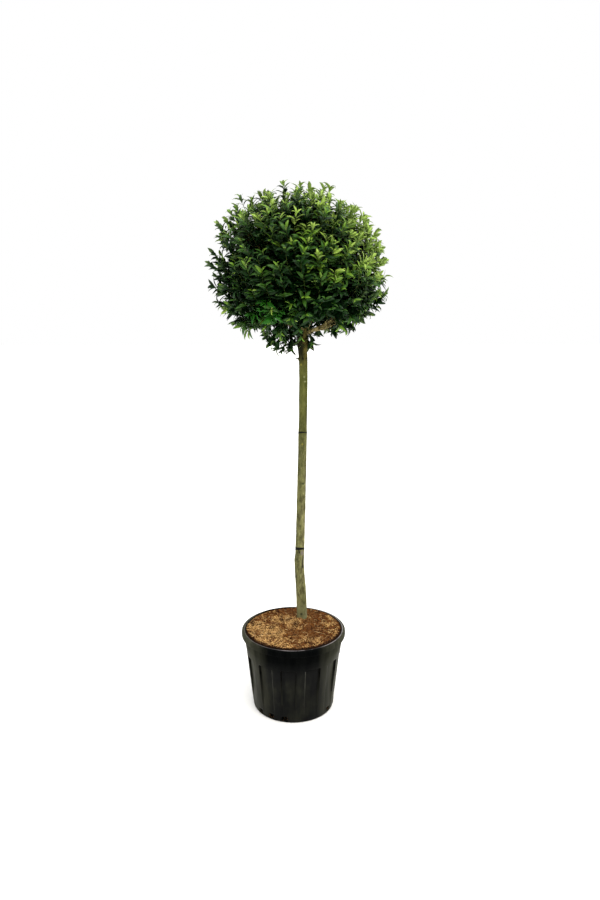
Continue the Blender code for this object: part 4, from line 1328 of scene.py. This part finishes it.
def make_leaves(shoots, chance):
    """All leaves, joined by tone into pieces of a limited size."""
    faces_in_leaf = len(LEAF_SHAPES[0][1])
    for tone, by_shape in sort_leaves(shoots, chance).items():
        vertices, faces, slots = join_leaves(by_shape)
        top_colour, under_colour, gloss = TONES[tone]
        under = leaf_under(f"leaf {tone} underside", under_colour, gloss)
        finishes = [leaf_top(f"leaf {tone}", top_colour, gloss), under]
        chunks = math.ceil(len(faces) / MOST_FACES)
        leaves = len(faces) // faces_in_leaf
        for chunk in range(chunks):
            low = (leaves * chunk // chunks) * faces_in_leaf
            high = (leaves * (chunk + 1) // chunks) * faces_in_leaf
            used = faces[low:high]
            base = used.min()
            own = vertices[base:used.max() + 1]
            name = f"leaves_{tone}" if chunks == 1 else f"leaves_{tone}_{chunk + 1}"
            piece(mesh_object(name, own, used - base, finishes, slots[low:high]), "laurel_leaf", *MASSES)


# Twigs

def spray_groups(shoots):
    """Shoots gathered into sprays: seeds far apart, then each shoot joins its nearest seed."""
    bases = [shoot.base for shoot in shoots]
    seeds = [bases[0]]
    while len(seeds) < round(len(shoots) / SHOOTS_IN_SPRAY):
        seeds.append(max(bases, key=lambda spot: min((spot - seed).length for seed in seeds)))
    groups = [[] for _ in seeds]
    for shoot in shoots:
        groups[min(range(len(seeds)), key=lambda i: (shoot.base - seeds[i]).length)].append(shoot)
    return [group for group in groups if group]


def add_twig(brown, green, shoot, node, ahead):
    """The twig from a branch's end to a shoot, and the shoot's own stem."""
    reach = (shoot.base - node).length
    turn = node + (ahead * 0.5 + shoot.ahead(0.0) * -0.2) * reach * 0.5
    line = curve_points(node - ahead * 0.004, turn, shoot.base, TWIG_POINTS)
    brown.add(*tube(line, taper(TWIG_RADIUS, SHOOT_RADIUS, TWIG_POINTS), 5))
    stem = [shoot.at(k / (SHOOT_POINTS - 1)) for k in range(SHOOT_POINTS)]
    green.add(*tube(stem, taper(SHOOT_RADIUS, SHOOT_TIP_RADIUS, SHOOT_POINTS), 4))


def make_twigs(shoots, anchors, paths, twig_finish, green_finish):
    """Branches from each bough's tip to its sprays, and from there the twigs and the stems of the shoots."""
    brown, green = Soup(), Soup()
    by_mass = {name: [] for name in anchors}
    for shoot in shoots:
        nearest = min(anchors, key=lambda name: (anchors[name] - shoot.base).length)
        by_mass[nearest].append(shoot)
    for name, own in by_mass.items():
        centres = paths[name][0]
        entry, ahead = centres[-1], (centres[-1] - centres[-2]).normalized()
        for group in spray_groups(own):
            middle = sum((shoot.base for shoot in group), Vector()) / len(group)
            node = anchors[name].lerp(middle, 0.60)
            bend = entry + ahead * (node - entry).length * 0.45
            line = curve_points(entry - ahead * 0.01, bend, node, BRANCH_POINTS)
            brown.add(*rough_tube(line, taper(*BRANCH_RADII, BRANCH_POINTS), 7, 0.0006))
            for shoot in group:
                add_twig(brown, green, shoot, node, (node - line[-2]).normalized())
    piece(brown.object("twigs", twig_finish), "bough_bark", *MASSES)
    piece(green.object("shoot_stems", green_finish), "laurel_leaf", *MASSES)


# Stage

def make_stage():
    pale = Finish("floor", (0.86, 0.86, 0.85), 0.9)
    soft = pale.texture(0.8, 2.0)
    pale.give("Base Color", pale.ramp(soft, (0.3, (0.92, 0.92, 0.91)), (0.7, (0.95, 0.95, 0.94))))
    corners = [(x * FLOOR_REACH, y * FLOOR_REACH, 0) for x, y in ((-1, -1), (1, -1), (1, 1), (-1, 1))]
    floor = mesh_object("floor", corners, [(0, 1, 2, 3)], [pale.material])


def add_object(name, data, place, turn):
    made = bpy.data.objects.new(name, data)
    made.location = place
    made.rotation_euler = turn
    bpy.context.scene.collection.objects.link(made)
    return made


def make_camera_and_light():
    scene = bpy.context.scene
    lens = bpy.data.cameras.new("camera")
    lens.lens = CAMERA_LENS
    lens.sensor_width = CAMERA_SENSOR
    lens.shift_y = CAMERA_SHIFT
    camera = add_object("camera", lens, CAMERA_PLACE, (math.radians(90.0), 0.0, 0.0))
    bpy.context.scene.camera = camera
    scene.view_settings.view_transform = "Standard"
    scene.world = make_world()
    key = bpy.data.lights.new("key", "SUN")
    key.energy = KEY_STRENGTH
    key.color = KEY_COLOUR
    key.angle = KEY_SOFTNESS
    add_object("key", key, KEY_PLACE, (-Vector(KEY_PLACE)).to_track_quat("-Z", "Y").to_euler())


def make_world():
    """A pale studio: bright overhead and behind the plant, dimmer on the side that it is seen from."""
    world = bpy.data.worlds.new("soft studio")
    world.use_nodes = True
    studio = Graph(world.node_tree, "Generated")
    back = studio.spread(studio.along("Y"), STUDIO_FRONT, STUDIO_BACK, -0.2, 0.5)
    above = studio.spread(studio.along("Z"), 0.0, STUDIO_ABOVE, 0.35, 0.9)
    sky = world.node_tree.nodes["Background"].inputs
    studio.set(sky["Strength"], studio.math("MAXIMUM", back, above))
    studio.set(sky["Color"], (1.0, 1.0, 1.0))
    return world


def main():
    make_camera_and_light()
    make_stage()
    make_pot([pot_plastic(), pot_painted_shade(), pot_edge_highlight()])
    make_compost(compost_soil())
    make_loose_compost()
    make_drain_crumbs()
    stem_finish = stem_bark()
    bough_tones = (0.175, 0.145, 0.052), (0.34, 0.280, 0.12), (0.055, 0.042, 0.015)
    twig_tones = (0.060, 0.040, 0.018), (0.14, 0.095, 0.040), (0.020, 0.013, 0.006)
    green_tones = (0.060, 0.100, 0.018), (0.11, 0.15, 0.03), (0.045, 0.035, 0.012)
    bough_finish = bark("bough bark", *bough_tones, 14.0, 0.3)[0].material
    twig_finish = bark("twig bark", *twig_tones, 20.0, 0.4)[0].material
    green_finish = bark("shoot bark", *green_tones, 24.0, 0.5)[0].material
    make_stem(stem_finish)
    make_stub(stem_finish)
    tie_finish = rubber()
    for k, (height, depth) in enumerate(TIES):
        make_tie(f"tie_band_{k + 1}", height, depth, f"stem_tie_{k + 1}", tie_finish)
    make_tie_end(TIES[0][0], "stem_tie_1", tie_finish)
    anchors = mass_anchors()
    paths = bough_paths(anchors)
    make_boughs(paths, bough_finish)
    make_fork_twigs(paths[FLAT_BOUGH_MASS][0], bough_of(FLAT_BOUGH_MASS), bough_finish)
    chance = random.Random(SEED)
    shoots = make_shoots(chance)
    make_leaves(shoots, chance)
    make_twigs(shoots, anchors, paths, twig_finish, green_finish)


main()
